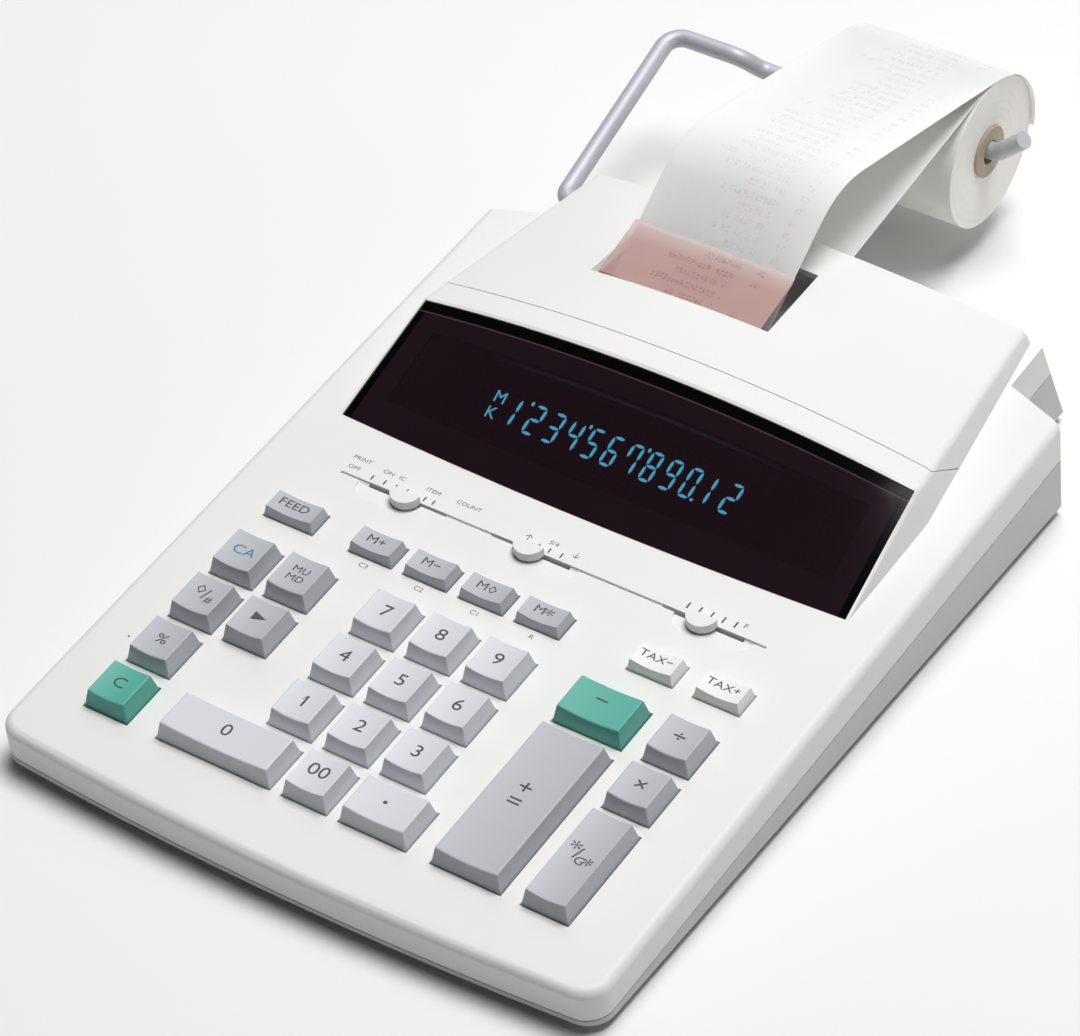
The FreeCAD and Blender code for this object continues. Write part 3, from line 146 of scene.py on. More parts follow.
class Value:
    """A shader socket that takes part in sums; masks are joined by | and met by *."""

    def __init__(self, finish, socket):
        self.finish, self.socket = finish, socket

    def combine(self, operation, first, second=0.0):
        return self.finish.node("ShaderNodeMath", {"operation": operation}, {0: first, 1: second})

    def __add__(self, other):
        return self.combine("ADD", self, other)

    __radd__ = __add__

    def __mul__(self, other):
        return self.combine("MULTIPLY", self, other)

    __rmul__ = __mul__

    def __sub__(self, other):
        return self.combine("SUBTRACT", self, other)

    def __rsub__(self, other):
        return self.combine("SUBTRACT", other, self)

    def __truediv__(self, other):
        return self.combine("DIVIDE", self, other)

    def __pow__(self, other):
        return self.combine("POWER", self, other)

    def __mod__(self, other):
        return self.combine("FLOORED_MODULO", self, other)

    def __lt__(self, other):
        return self.combine("LESS_THAN", self, other)

    def __gt__(self, other):
        return self.combine("GREATER_THAN", self, other)

    def __or__(self, other):
        return self.combine("MAXIMUM", self, other)

    def floor(self):
        return self.combine("FLOOR", self)

    def sine(self):
        return self.combine("SINE", self)

    def distance(self):
        return self.combine("ABSOLUTE", self)


class Finish:
    """One material, built node by node round a single surface shader."""

    def __init__(self, name, **constants):
        self.material = bpy.data.materials.new(name)
        self.material.use_nodes = True
        self.tree = self.material.node_tree
        self.surface = self.tree.nodes["Principled BSDF"]
        self.set(**constants)

    def put(self, socket, value):
        if isinstance(value, Value):
            self.tree.links.new(value.socket, socket)
        elif socket.type == "RGBA":
            socket.default_value = (*value, 1.0)
        else:
            socket.default_value = value

    def node(self, kind, settings=None, inputs=None, output=0):
        node = self.tree.nodes.new(kind)
        for setting, value in (settings or {}).items():
            if setting == "stops":
                first, last = node.color_ramp.elements
                first.position, last.position = value
            else:
                setattr(node, setting, value)
        for socket, value in (inputs or {}).items():
            self.put(node.inputs[socket], value)
        return Value(self, node.outputs[output])

    def set(self, **values):
        """Put values on the surface's sockets: base_color is Base Color, and so on."""
        for name, value in values.items():
            words = [word.upper() if word == "ior" else word.capitalize() for word in name.split("_")]
            self.put(self.surface.inputs[" ".join(words)], value)

    def place(self):
        return self.node("ShaderNodeTexCoord", output="Object")

    def axis(self, name):
        """One of the part's axes, in metres."""
        return self.node("ShaderNodeSeparateXYZ", inputs={"Vector": self.place()}, output=name)

    def map_axis(self, name):
        """One of the directions of the piece's own map."""
        mapped = self.node("ShaderNodeTexCoord", output="UV")
        return self.node("ShaderNodeSeparateXYZ", inputs={"Vector": mapped}, output=name)

    def deck_way(self):
        """How far back a point is along the sloped deck, in millimetres."""
        back = self.axis("Y") - DECK_FRONT.y
        up = self.axis("Z") - DECK_FRONT.z
        return (back * math.cos(DECK_SLOPE) + up * math.sin(DECK_SLOPE)) * METRE

    def radius(self, centre):
        """How far a point is from a line across the part through a centre, in metres."""
        back, up = self.axis("Y") - centre.y, self.axis("Z") - centre.z
        return (back * back + up * up) ** 0.5

    def noise(self, scale, detail=2.0, roughness=0.5, vector=None):
        sockets = {"Vector": vector or self.place(), "Scale": scale, "Detail": detail,
                   "Roughness": roughness}
        return self.node("ShaderNodeTexNoise", inputs=sockets)

    def noise_along(self, value, scale, detail):
        """Noise that changes with one value alone."""
        sockets = {"W": value, "Scale": scale, "Detail": detail}
        return self.node("ShaderNodeTexNoise", {"noise_dimensions": "1D"}, sockets)

    def hashed(self, first, second):
        """A random number for each pair of whole numbers."""
        pair = self.node("ShaderNodeCombineXYZ", inputs={"X": first, "Y": second})
        return self.node("ShaderNodeTexWhiteNoise", {"noise_dimensions": "2D"}, {"Vector": pair})

    def ramp(self, value, low, high):
        """0 below low, 1 above high."""
        return self.node("ShaderNodeValToRGB", {"stops": (low, high)}, {"Fac": value})

    def mix(self, share, first, second):
        sockets = {0: share, 6: first, 7: second}
        return self.node("ShaderNodeMix", {"data_type": "RGBA"}, sockets, output=2)

    def bump(self, height, distance, strength=1.0):
        sockets = {"Height": height, "Distance": distance, "Strength": strength}
        return self.node("ShaderNodeBump", inputs=sockets, output="Normal")


def shade(colour, factor):
    """A colour made darker or lighter."""
    return tuple(min(1.0, part * factor) for part in colour)


def moulded(name, colour, roughness=0.48, grain=0.00002):
    """Moulded plastic: a fine spark-eroded grain, faint flow clouds and a roughness that wanders."""
    finish = Finish(name, specular_ior_level=0.4)
    clouds = finish.noise(16.0, 3.0)
    eroded = finish.noise(2400.0, 2.0, 0.6)
    specks = finish.ramp(finish.noise(900.0, 1.0), 0.66, 0.74)
    tone = finish.mix(clouds, shade(colour, 0.975), shade(colour, 1.02))
    tone = finish.mix(specks * 0.12, tone, shade(colour, 0.9))
    finish.set(base_color=tone, roughness=roughness - 0.05 + 0.1 * clouds + 0.04 * eroded,
               normal=finish.bump(eroded, grain, 0.5))
    return finish.material


def key_moulding(name, colour):
    """The smoother moulding of the key tops."""
    return moulded(name, colour, 0.4, 0.000012)


# How a metal's lines run: drawn out along an axis, or even under a coat.
METAL_LINES = {"X": (40.0, 2200.0, 2200.0), "Z": (2200.0, 2200.0, 40.0), None: (700.0, 700.0, 700.0)}


def metal(name, colour, roughness=0.35, brushed=None, metallic=1.0):
    """Metal with fine drawn lines along one axis and a tone that wanders."""
    finish = Finish(name)
    drawn = finish.node("ShaderNodeMapping", inputs={"Vector": finish.place(), "Scale": METAL_LINES[brushed]})
    lines = finish.noise(1.0, 2.0, vector=drawn)
    clouds = finish.noise(30.0, 2.0)
    tone = finish.mix(0.5 * lines + 0.5 * clouds, shade(colour, 0.86), shade(colour, 1.1))
    finish.set(base_color=tone, metallic=metallic, roughness=roughness - 0.08 + 0.16 * lines,
               normal=finish.bump(lines, 0.00001, 0.4))
    return finish.material


def rubbery(name, colour, roughness=0.75):
    """Matt rubber with a bloom of dust."""
    finish = Finish(name, specular_ior_level=0.25)
    dust = finish.ramp(finish.noise(60.0, 4.0), 0.45, 0.8)
    pores = finish.noise(1800.0, 2.0)
    finish.set(base_color=finish.mix(dust * 0.4, colour, shade(colour, 1.8)),
               roughness=roughness + 0.1 * pores, normal=finish.bump(pores, 0.00002, 0.5))
    return finish.material


def circuit_board():
    """Varnished brown board with paler copper runs under the varnish."""
    finish = Finish("varnished_board", coat_weight=0.3)
    sockets = {"Vector": finish.place(), "Scale": 120.0, "Mortar Size": 0.03, "Brick Width": 0.9,
               "Row Height": 0.22}
    runs = finish.node("ShaderNodeTexBrick", {"offset": 0.37}, sockets, output="Fac")
    weave = finish.noise(700.0, 3.0)
    board = finish.mix(weave, (0.16, 0.075, 0.02), (0.24, 0.12, 0.035))
    finish.set(base_color=finish.mix(runs, board, (0.30, 0.20, 0.06)), roughness=0.35 + 0.2 * weave,
               normal=finish.bump(runs, 0.00004, 0.4))
    return finish.material


# The display window: its half width, which draws in towards the rear, its bowed front, its borders and its
# painted highlight line.
WINDOW_HALF, WINDOW_HALF_AT, WINDOW_TAPER = 90.1, 159.6, 0.053
WINDOW_FRONT, WINDOW_BOW = 157.2, 0.0003
BLACK_REAR, BLACK_SIDE = 200.3, 2.6
PAINT_REAR, PAINT_BORDER = 193.9, 9.6
PAINTED_HIGHLIGHT_AT, PAINTED_HIGHLIGHT_HALF = 200.0, 0.22


def smoked_window():
    """Smoked acrylic: see-through in the middle, opaque round its border and near black at its rear and
    sides, with a painted highlight line along the bevel.
    """
    finish = Finish("smoked_acrylic", specular_ior_level=0.08)
    v = finish.deck_way()
    across = finish.axis("X").distance() * METRE
    side = across + (v - WINDOW_HALF_AT) * WINDOW_TAPER - WINDOW_HALF
    front = WINDOW_FRONT + across * across * WINDOW_BOW
    border = (v > BLACK_REAR) | (side > -BLACK_SIDE)
    painted = (v > PAINT_REAR) | (side > -PAINT_BORDER) | (v < front + PAINT_BORDER)
    # Where the painted highlight runs: a thin line along the bevel below the black border.
    line = (v - PAINTED_HIGHLIGHT_AT).distance() < PAINTED_HIGHLIGHT_HALF
    smears = finish.noise(22.0, 3.0)
    tone = finish.mix(smears, (0.0125, 0.0062, 0.0095), (0.0160, 0.0082, 0.0120))
    tone = finish.mix(border, tone, (0.002, 0.002, 0.002))
    # Painted highlight: a pale line mixed into the tone along the bevel.
    tone = finish.mix(line * 0.5, tone, (0.10, 0.075, 0.07))
    finish.set(base_color=tone, alpha=0.8 + 0.2 * painted, roughness=0.1 + 0.06 * smears)
    finish.material.surface_render_method = "BLENDED"
    return finish.material


# Printed rows: their pitch, foot and head along the tape, then places across it.
ROW_PITCH, ROW_FOOT, ROW_HEAD = 4.2, 0.9, 3.1
COLUMN_PITCH, COLUMN_GAP = 1.55, 0.3
SUM_LEFT, SUM_SPREAD, SUM_RIGHT = 12.0, 16.0, 41.0
SYMBOL_LEFT, SYMBOL_RIGHT, SYMBOL_SEED = 47.0, 49.6, 7.0


def printed_rows(finish, across, along):
    """A mask of printed figures, row by row, and a random number for each row."""
    row, column = (along / ROW_PITCH).floor(), (across / COLUMN_PITCH).floor()
    in_row = ((along % ROW_PITCH) > ROW_FOOT) * ((along % ROW_PITCH) < ROW_HEAD)
    in_row = in_row * ((across % COLUMN_PITCH) > COLUMN_GAP)
    by_row = finish.hashed(row, 0.0)
    in_sum = (across > SUM_LEFT + SUM_SPREAD * by_row) * (across < SUM_RIGHT)
    figures = in_row * (finish.hashed(row, column) > 0.14) * in_sum
    in_symbol = (across > SYMBOL_LEFT) * (across < SYMBOL_RIGHT)
    symbol = in_row * in_symbol * (finish.hashed(row, SYMBOL_SEED) > 0.35)
    strokes = finish.ramp(finish.noise(1300.0, 0.0), 0.42, 0.55)
    return (figures + symbol) * strokes, by_row


# The tear window: the paper's edge and first row behind it, the painted shadow along its front edge and the
# painted light over its rear.
BEHIND_EDGE, BEHIND_ROW = 46.0, 1.4
TEAR_SHADOW_TO, TEAR_LIGHT_FROM, TEAR_LIGHT_REACH = 238.2, 250.0, 14.0


def rose_window():
    """Rose tinted clear plastic with a faint haze, the print of the paper behind it, a painted shadow at its
    front edge and painted light at its rear.
    """
    finish = Finish("rose_tinted_plastic", specular_ior_level=0.4)
    haze = finish.noise(45.0, 3.0)
    rows, _ = printed_rows(finish, finish.axis("X") * METRE + BEHIND_EDGE, finish.deck_way() + BEHIND_ROW)
    tone = finish.mix(haze, (0.65, 0.41, 0.385), (0.70, 0.45, 0.42))
    # Painted light: the rear of the window, next to the paper behind it, is made paler.
    painted_rear_light = finish.ramp((finish.deck_way() - TEAR_LIGHT_FROM) / TEAR_LIGHT_REACH, 0.2, 0.9)
    tone = finish.mix(painted_rear_light * 0.8, tone, (0.88, 0.80, 0.79))
    tone = finish.mix(rows * 0.45, tone, (0.30, 0.10, 0.10))
    # Painted shadow: a dark band along the front edge, where the window sits sunk in the cover.
    edge = finish.deck_way() < TEAR_SHADOW_TO
    tone = finish.mix(edge * 0.75, tone, (0.16, 0.08, 0.07))
    finish.set(base_color=tone, alpha=0.5 + 0.06 * haze, roughness=0.16 + 0.1 * haze)
    finish.material.surface_render_method = "BLENDED"
    return finish.material


def paper(name, printed):
    """Thin bond paper: fibres, and where it is printed pale rows of broken figures."""
    finish = Finish(name, specular_ior_level=0.2, subsurface_weight=0.85, subsurface_scale=0.0006,
                    subsurface_radius=(1.0, 0.97, 0.9))
    fibres = finish.noise(1500.0, 4.0, 0.7)
    tone = finish.mix(fibres, (0.88, 0.87, 0.835), (0.93, 0.925, 0.895))
    if printed:
        rows, by_row = printed_rows(finish, finish.map_axis("X"), finish.map_axis("Y"))
        colour = finish.mix(by_row > 0.78, (0.42, 0.41, 0.44), (0.78, 0.50, 0.46))
        tone = finish.mix(rows * (0.17 + 0.2 * by_row), tone, colour)
    finish.set(base_color=tone, roughness=0.78 + 0.1 * fibres, normal=finish.bump(fibres, 0.00002, 0.35))
    return finish.material


def wound_paper(centre):
    """The cut edges of a wound roll: fine rings round its axis, with a few darker turns."""
    finish = Finish("wound_paper_edge", specular_ior_level=0.2)
    radius = finish.radius(centre)
    rings, bands = finish.noise_along(radius, 2600.0, 3.0), finish.noise_along(radius, 320.0, 2.0)
    fibres = finish.noise(1500.0, 3.0, 0.7)
    tone = finish.mix(fibres, (0.90, 0.885, 0.84), (0.95, 0.935, 0.895))
    turns = finish.ramp(rings * 0.6 + bands * 0.4, 0.46, 0.68)
    tone = finish.mix(turns * 0.16, tone, (0.80, 0.765, 0.70))
    finish.set(base_color=tone, roughness=0.8 + 0.08 * fibres, normal=finish.bump(rings, 0.00012, 0.5))
    return finish.material


def card(centre):
    """Grey-brown card of the roll's core, with its wound plies at the ends."""
    finish = Finish("brown_card", specular_ior_level=0.2)
    plies = (finish.radius(centre) * 9000.0).sine()
    fibres = finish.noise(900.0, 4.0, 0.7)
    tone = finish.mix(fibres, (0.42, 0.355, 0.26), (0.58, 0.505, 0.39))
    tone = finish.mix(0.25 + 0.2 * plies, tone, (0.37, 0.30, 0.215))
    finish.set(base_color=tone, roughness=0.8 + 0.1 * fibres, normal=finish.bump(fibres, 0.00005, 0.5))
    return finish.material


def glowing(name, colour, strength):
    """A lit phosphor: a fine grain over a steady glow."""
    finish = Finish(name, roughness=0.5, emission_strength=strength)
    grain = finish.noise(2600.0, 1.0)
    finish.set(base_color=shade(colour, 0.3), emission_color=finish.mix(grain, shade(colour, 0.85), colour))
    return finish.material


def ink(name, colour):
    """Pad-printed ink: a thin film with a tone that wanders."""
    finish = Finish(name, specular_ior_level=0.3)
    film = finish.noise(1400.0, 2.0)
    tone = finish.mix(film, shade(colour, 0.9), shade(colour, 1.15))
    finish.set(base_color=tone, roughness=0.5 + 0.1 * film)
    return finish.material


# The roll's axis in v and w.
ROLL = Vector((368.5, -9.4))
ROLL_CENTRE = at(0.0, *ROLL)

FINISHES = {
    "shell": moulded("warm_white_moulding", (0.80, 0.795, 0.78)),
    "lower_shell": moulded("pale_grey_moulding", (0.55, 0.55, 0.545)),
    "light_key": key_moulding("pale_key_moulding", (0.66, 0.675, 0.72)),
    "grey_key": key_moulding("grey_key_moulding", (0.48, 0.49, 0.53)),
    "green_key": key_moulding("green_key_moulding", (0.10, 0.42, 0.345)),
    "white_key": key_moulding("white_key_moulding", (0.84, 0.84, 0.835)),
    "dark_window": smoked_window(),
    "pink_window": rose_window(),
    "wire": metal("grey_coated_wire", (0.55, 0.555, 0.60), 0.5, None, 0.25),
    "paper": wound_paper(ROLL_CENTRE),
    "core": card(ROLL_CENTRE),
    "rubber": rubbery("black_rubber", (0.02, 0.02, 0.021)),
    "clear_rubber": rubbery("milky_rubber", (0.52, 0.52, 0.49), 0.55),
    "black_plastic": moulded("black_moulding", (0.016, 0.016, 0.017), 0.42),
    "circuit_board": circuit_board(),
    "tube_glass": moulded("dark_tube_glass", (0.012, 0.014, 0.016), 0.12, 0.000002),
    "steel": metal("bright_steel", (0.62, 0.62, 0.61), 0.32, "X"),
    "nylon": moulded("natural_nylon", (0.70, 0.68, 0.60), 0.45),
    "ink": rubbery("inked_felt", (0.05, 0.018, 0.07), 0.9),
    "brass": metal("turned_brass", (0.72, 0.52, 0.22), 0.3, "X"),
    "iron": metal("lacquered_iron", (0.30, 0.29, 0.28), 0.45, "Z"),
}
LEGEND = ink("dark_legend_ink", (0.075, 0.075, 0.09))
BLUE_LEGEND = ink("blue_legend_ink", (0.06, 0.22, 0.36))
PALE_LEGEND = ink("grey_legend_ink", (0.16, 0.16, 0.17))
PRINTED_PAPER = paper("printed_paper", True)
BLANK_PAPER = paper("blank_paper", False)
LIT = glowing("lit_blue_green_phosphor", (0.13, 0.62, 0.95), 13.0)


# Tools for the pieces

SHARP_ANGLE = math.radians(30.0)
FLAT_ANGLE = math.radians(0.6)
SAME_PLACE = 2e-6


def deselect():
    bpy.ops.object.select_all(action="DESELECT")


def choose(*pieces):
    deselect()
    for piece in pieces:
        piece.select_set(True)
    bpy.context.view_layer.objects.active = pieces[0]


def apply_modifiers(piece):
    choose(piece)
    for modifier in list(piece.modifiers):
        bpy.ops.object.modifier_apply(modifier=modifier.name)


def smooth(degrees):
    bpy.ops.object.shade_smooth_by_angle(angle=math.radians(degrees))


def dress(piece, *finishes):
    piece.data.materials.clear()
    for finish in finishes:
        piece.data.materials.append(finish)


def join(pieces, name):
    choose(*pieces)
    if len(pieces) > 1:
        bpy.ops.object.join()
    piece = bpy.context.object
    piece.name = name
    return piece


def rounding(piece, width, segments):
    bevel = piece.modifiers.new("rounding", "BEVEL")
    bevel.width, bevel.segments = width, segments
    bevel.limit_method, bevel.angle_limit = "ANGLE", SHARP_ANGLE


def softened(node, width, segments):
    """A node's own shape with its sharp edges rounded off."""
    piece = bpy.data.objects.new(f"{node}_skin", frame["nodes"][node].data.copy())
    bpy.context.collection.objects.link(piece)
    choose(piece)
    bpy.ops.object.mode_set(mode="EDIT")
    bpy.ops.mesh.select_all(action="SELECT")
    bpy.ops.mesh.remove_doubles(threshold=SAME_PLACE)
    bpy.ops.mesh.dissolve_limited(angle_limit=FLAT_ANGLE)
    bpy.ops.object.mode_set(mode="OBJECT")
    bpy.ops.object.shade_smooth_by_angle(angle=SHARP_ANGLE)
    rounding(piece, width * MILLIMETRE, segments)
    evened = piece.modifiers.new("evened", "WEIGHTED_NORMAL")
    evened.keep_sharp = True
    apply_modifiers(piece)
    dress(piece, FINISHES[SLOT_OF[node]])
    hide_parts(node)
    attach(piece, BODY_OF[node])
    return piece


# Floor

FLOOR_SIZE = 60.0


def add_floor():
    finish = Finish("pale_floor", roughness=0.9)
    finish.set(base_color=finish.mix(finish.noise(3.0), (0.84, 0.84, 0.84), (0.87, 0.87, 0.87)))
    deselect()
    bpy.ops.mesh.primitive_plane_add(size=FLOOR_SIZE, location=ORIGIN)
    floor = bpy.context.object
    floor.name = "floor"
    dress(floor, finish.material)


# Legends

LOZENGE = "\u25ca"
# A lozenge's reach and line as shares of its height, and a capital's share of the letter size.
LOZENGE_REACH, LOZENGE_LINE, CAPITAL_SHARE = 0.6, 0.13, 0.7
LETTER_STRETCH, LETTER_STEPS = 1.15, 4
INK_FILM, INK_LIFT, ABOVE_ALL = 0.04, 0.03, 60.0

# Each key's words: text, letter height, place from the key's middle, and perhaps a stretch.
KEY_LEGENDS = {
    "key_0": [("0", 4.4, -0.45, 0.6)],
    "key_00": [("00", 4.4, -0.3, 0.8)],
    "key_point": [("\u2022", 3.4, -0.7, 0.4)],
    "key_1": [("1", 4.4, 0.2, 0.3), ("/", 1.5, -0.5, 1.6, 1.5)],
    "key_2": [("2", 4.4, 0.0, 0.3)],
    "key_3": [("3", 4.4, 0.0, 0.3)],
    "key_4": [("4", 4.4, 0.0, 0.3)],
    "key_5": [("5", 4.4, 0.0, 0.3)],
    "key_6": [("6", 4.4, 0.0, 0.3)],
    "key_7": [("7", 4.4, 0.2, 0.3)],
    "key_8": [("8", 4.4, 0.0, 0.3)],
    "key_9": [("9", 4.4, 0.0, 0.3)],
    "key_clear": [("C", 3.9, -0.2, 0.4)],
    "key_percent": [("%", 3.6, 0.1, 0.0)],
    "key_subtotal": [(LOZENGE, 3.0, -1.8, 1.8, 0.85), ("/", 4.2, 0.6, 0.4), ("#", 2.6, 2.6, -1.2)],
    "key_clear_all": [("CA", 3.5, 0.0, 0.0)],
    "key_shift": [("\u25b6", 2.5, 0.2, 0.4, 1.7)],
    "key_markup": [("MU", 2.5, 0.0, 1.8), ("MD", 2.5, 0.0, -1.8)],
    "key_feed": [("FEED", 3.0, -0.6, 0.5)],
    "key_memory_plus": [("M+", 3.0, -0.5, 0.5)],
    "key_memory_minus": [("M\u2212", 3.0, -0.5, 0.5)],
    "key_memory_subtotal": [("M", 3.0, -2.1, 0.5), (LOZENGE, 2.6, 1.5, 0.5, 0.9)],
    "key_memory_total": [("M", 3.0, -1.7, 0.5), ("*", 4.4, 1.5, -0.3)],
    "key_plus": [("+", 5.2, -1.0, 3.9), ("=", 5.2, -1.0, -1.9)],
    "key_minus": [("\u2212", 5.0, -0.4, 1.3)],
    "key_divide": [("\u00f7", 4.8, -0.05, 0.3)],
    "key_multiply": [("\u00d7", 4.8, 0.15, 0.2)],
    "key_total": [("*", 5.0, -3.15, 2.15), ("/", 4.4, -1.25, 1.15), ("G", 2.8, 0.55, -1.05),
                  ("*", 4.6, 3.15, -1.65)],
    "key_tax_minus": [("TAX\u2212", 2.7, -0.4, 0.7)],
    "key_tax_plus": [("TAX+", 2.7, -0.3, 0.7)],
}

# Words and scale marks on the deck: text, letter height, place in u and v, and perhaps a stretch.
LEFT_SCALES = (-66.0, -61.4, -57.4, -53.3, -46.6, -43.4, -5.2, -1.3, 3.0)
RIGHT_SCALE = (47.1, 51.2, 55.3, 59.4, 63.5)
DECK_SCALES = [("I", 2.0, u, 141.2, 1.8) for u in LEFT_SCALES]
DECK_SCALES += [("I", 2.6, u, 142.2, 1.5) for u in RIGHT_SCALE]
DECK_WORDS = [
    ("PRINT", 1.5, -73.0, 146.2), ("OFF", 1.5, -73.4, 142.2), ("ON", 1.5, -62.6, 145.3),
    ("IC", 1.5, -57.6, 145.3), ("ITEM", 1.5, -46.0, 145.2), ("COUNT", 1.5, -33.0, 145.2),
    ("\u2191", 2.4, -9.8, 142.8), ("5/4", 1.6, -1.6, 144.4), ("\u2193", 2.2, 7.0, 143.2),
    ("F", 1.8, 66.4, 143.2), ("C3", 1.7, -46.8, 109.2), ("C2", 1.7, -26.7, 109.2),
    ("C1", 1.7, -6.5, 109.2), ("R", 1.7, 13.6, 109.2), ("\u2022", 2.0, -91.2, 51.6),
]


def add_lozenge(height):
    """An open lozenge, drawn flat round the origin with its thickness."""
    deselect()
    bpy.ops.mesh.primitive_circle_add(vertices=4, radius=height * LOZENGE_REACH, fill_type="NGON",
                                      location=ORIGIN)
    lozenge = bpy.context.object
    bpy.context.tool_settings.mesh_select_mode = (False, False, True)
    bpy.ops.object.mode_set(mode="EDIT")
    bpy.ops.mesh.select_all(action="SELECT")
    bpy.ops.mesh.inset(thickness=height * LOZENGE_LINE)
    bpy.ops.mesh.delete(type="FACE")
    bpy.ops.object.mode_set(mode="OBJECT")
    thickness = lozenge.modifiers.new("thickness", "SOLIDIFY")
    thickness.thickness, thickness.offset = INK_FILM, 0.0
    apply_modifiers(lozenge)
    return lozenge


def add_word(text, size, extrude, steps):
    """A word, drawn flat round the origin; steps say how finely its curves are cut."""
    deselect()
    bpy.ops.object.text_add(location=ORIGIN)
    word = bpy.context.object
    word.data.body = text
    word.data.size = size
    word.data.align_x = word.data.align_y = "CENTER"
    word.data.extrude = extrude
    word.data.resolution_u = steps
    bpy.ops.object.convert(target="MESH")
    return bpy.context.object


def lay_on(piece, carrier):
    """Drop a flat shape, drawn in deck millimetres, on to a piece's upper surface."""
    surface = BVHTree.FromObject(carrier, bpy.context.evaluated_depsgraph_get())
    down = -DECK_UP.normalized()
    for vertex in piece.data.vertices:
        u, v, thickness = vertex.co
        place, *_ = surface.ray_cast(at(u, v, ABOVE_ALL), down)
        vertex.co = place - down * ((thickness + INK_LIFT) * MILLIMETRE)


def add_lettering(name, words, carrier, finish, body, middle=(0.0, 0.0)):
    """Words laid on the surface of the piece that carries them."""
    glyphs = []
    for text, height, u, v, *stretch in words:
        if text == LOZENGE:
            glyph = add_lozenge(height)
        else:
            glyph = add_word(text, height / CAPITAL_SHARE, INK_FILM / 2.0, LETTER_STEPS)
        wide = stretch[0] if stretch else LETTER_STRETCH
        for vertex in glyph.data.vertices:
            x, y, z = vertex.co
            vertex.co = (x * wide + middle[0] + u, y + middle[1] + v, z)
        glyphs.append(glyph)
    piece = join(glyphs, name)
    lay_on(piece, carrier)
    dress(piece, finish)
    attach(piece, body)


# The rubber sheet under the keys

SHEET_THICKNESS, SHEET_ROUNDING = 0.8, 0.3
DOME_BASE, DOME_TIP, DOME_SIDES, DOME_ROUNDING = 4.0, 2.4, 24, 0.4


def add_dome_sheet():
    """The rubber sheet, with a dome under each key."""
    low, high = deck_box("dome_sheet")
    top = low.z + SHEET_THICKNESS
    deselect()
    bpy.ops.mesh.primitive_cube_add(size=1.0, location=ORIGIN)
    sheet = bpy.context.object
    sheet.name = "rubber_sheet"
    middle, extent = (low + high) / 2.0, high - low
    for vertex in sheet.data.vertices:
        x, y, z = vertex.co
        vertex.co = (middle.x + x * extent.x, middle.y + y * extent.y, low.z + (z + 0.5) * SHEET_THICKNESS)
    rounding(sheet, SHEET_ROUNDING, 2)
    domes = {}
    for node in KEY_LEGENDS:
        deselect()
        bpy.ops.mesh.primitive_cone_add(vertices=DOME_SIDES, radius1=DOME_BASE, radius2=DOME_TIP,
                                        depth=high.z - top, location=ORIGIN)
        dome = bpy.context.object
        dome.name = f"{node}_dome"
        dome.data.transform(Matrix.Translation((*deck_middle(node), (top + high.z) / 2.0)))
        rounding(dome, DOME_ROUNDING, 3)
        domes[node] = dome
    for piece in (sheet, *domes.values()):
        apply_modifiers(piece)
        smooth(35.0)
        piece.data.transform(DECK)
        dress(piece, FINISHES["clear_rubber"])
        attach(piece, "case")
    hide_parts("dome_sheet")
    for node, dome in domes.items():
        foot = at(*deck_middle(node), top)
        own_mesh(dome)


# The lit display

# Each bar of a figure one unit wide and two high: its place, and whether it stands.
SEGMENTS = {
    "a": (0.5, 2.0, False), "b": (1.0, 1.5, True), "c": (1.0, 0.5, True), "d": (0.5, 0.0, False),
    "e": (0.0, 0.5, True), "f": (0.0, 1.5, True), "g": (0.5, 1.0, False),
}
FIGURES = {
    "0": "abcdef", "2": "abdeg", "3": "abcdg", "4": "bcfg", "5": "acdfg", "6": "acdefg", "7": "abcf",
    "8": "abcdefg", "9": "abcdfg",
}
SHOWN, COMMA_AFTER, COMMA_LENGTH = "123456789012", (0, 3, 6), 1.6
FIGURE_WIDTH, FIGURE_HEIGHT, FIGURE_PITCH, STROKE = 3.5, 9.4, 7.07, 0.95
FIRST_FIGURE, FIGURE_FOOT = -41.8, 0.8
BAR_SHARE, ONE_SHARE = 0.94, 0.46
POINT_PLACE, POINT_RADIUS = (25.0, 0.75, 0.0), STROKE * 0.55
LEAN, LEAN_LEVEL = 0.09, 5.0
MARKS, MARK_PLACE, MARK_SIZE, MARK_STEPS = {"M": 8.2, "K": 2.6}, -49.6, 5.6, 12
# The tube's face in v and w, and how far it leans back; the figures float just above it.
TUBE_FACE, TUBE_TILT = (178.6, 0.1), math.radians(23.68)
FIGURE_LIFT, FIGURE_THICKNESS = 0.3, 0.1


def add_bar(x, y, length, upright):
    """A lit bar with pointed ends, drawn flat, in the mesh that is being edited."""
    bpy.ops.mesh.primitive_circle_add(vertices=6, radius=1.0, fill_type="NGON", location=ORIGIN)
    long, short = length / 2.0, STROKE / 2.0 / math.cos(math.radians(30.0))
    bpy.ops.transform.resize(value=(short, long, 1.0) if upright else (long, short, 1.0))
    bpy.ops.transform.translate(value=(x, y, 0.0))


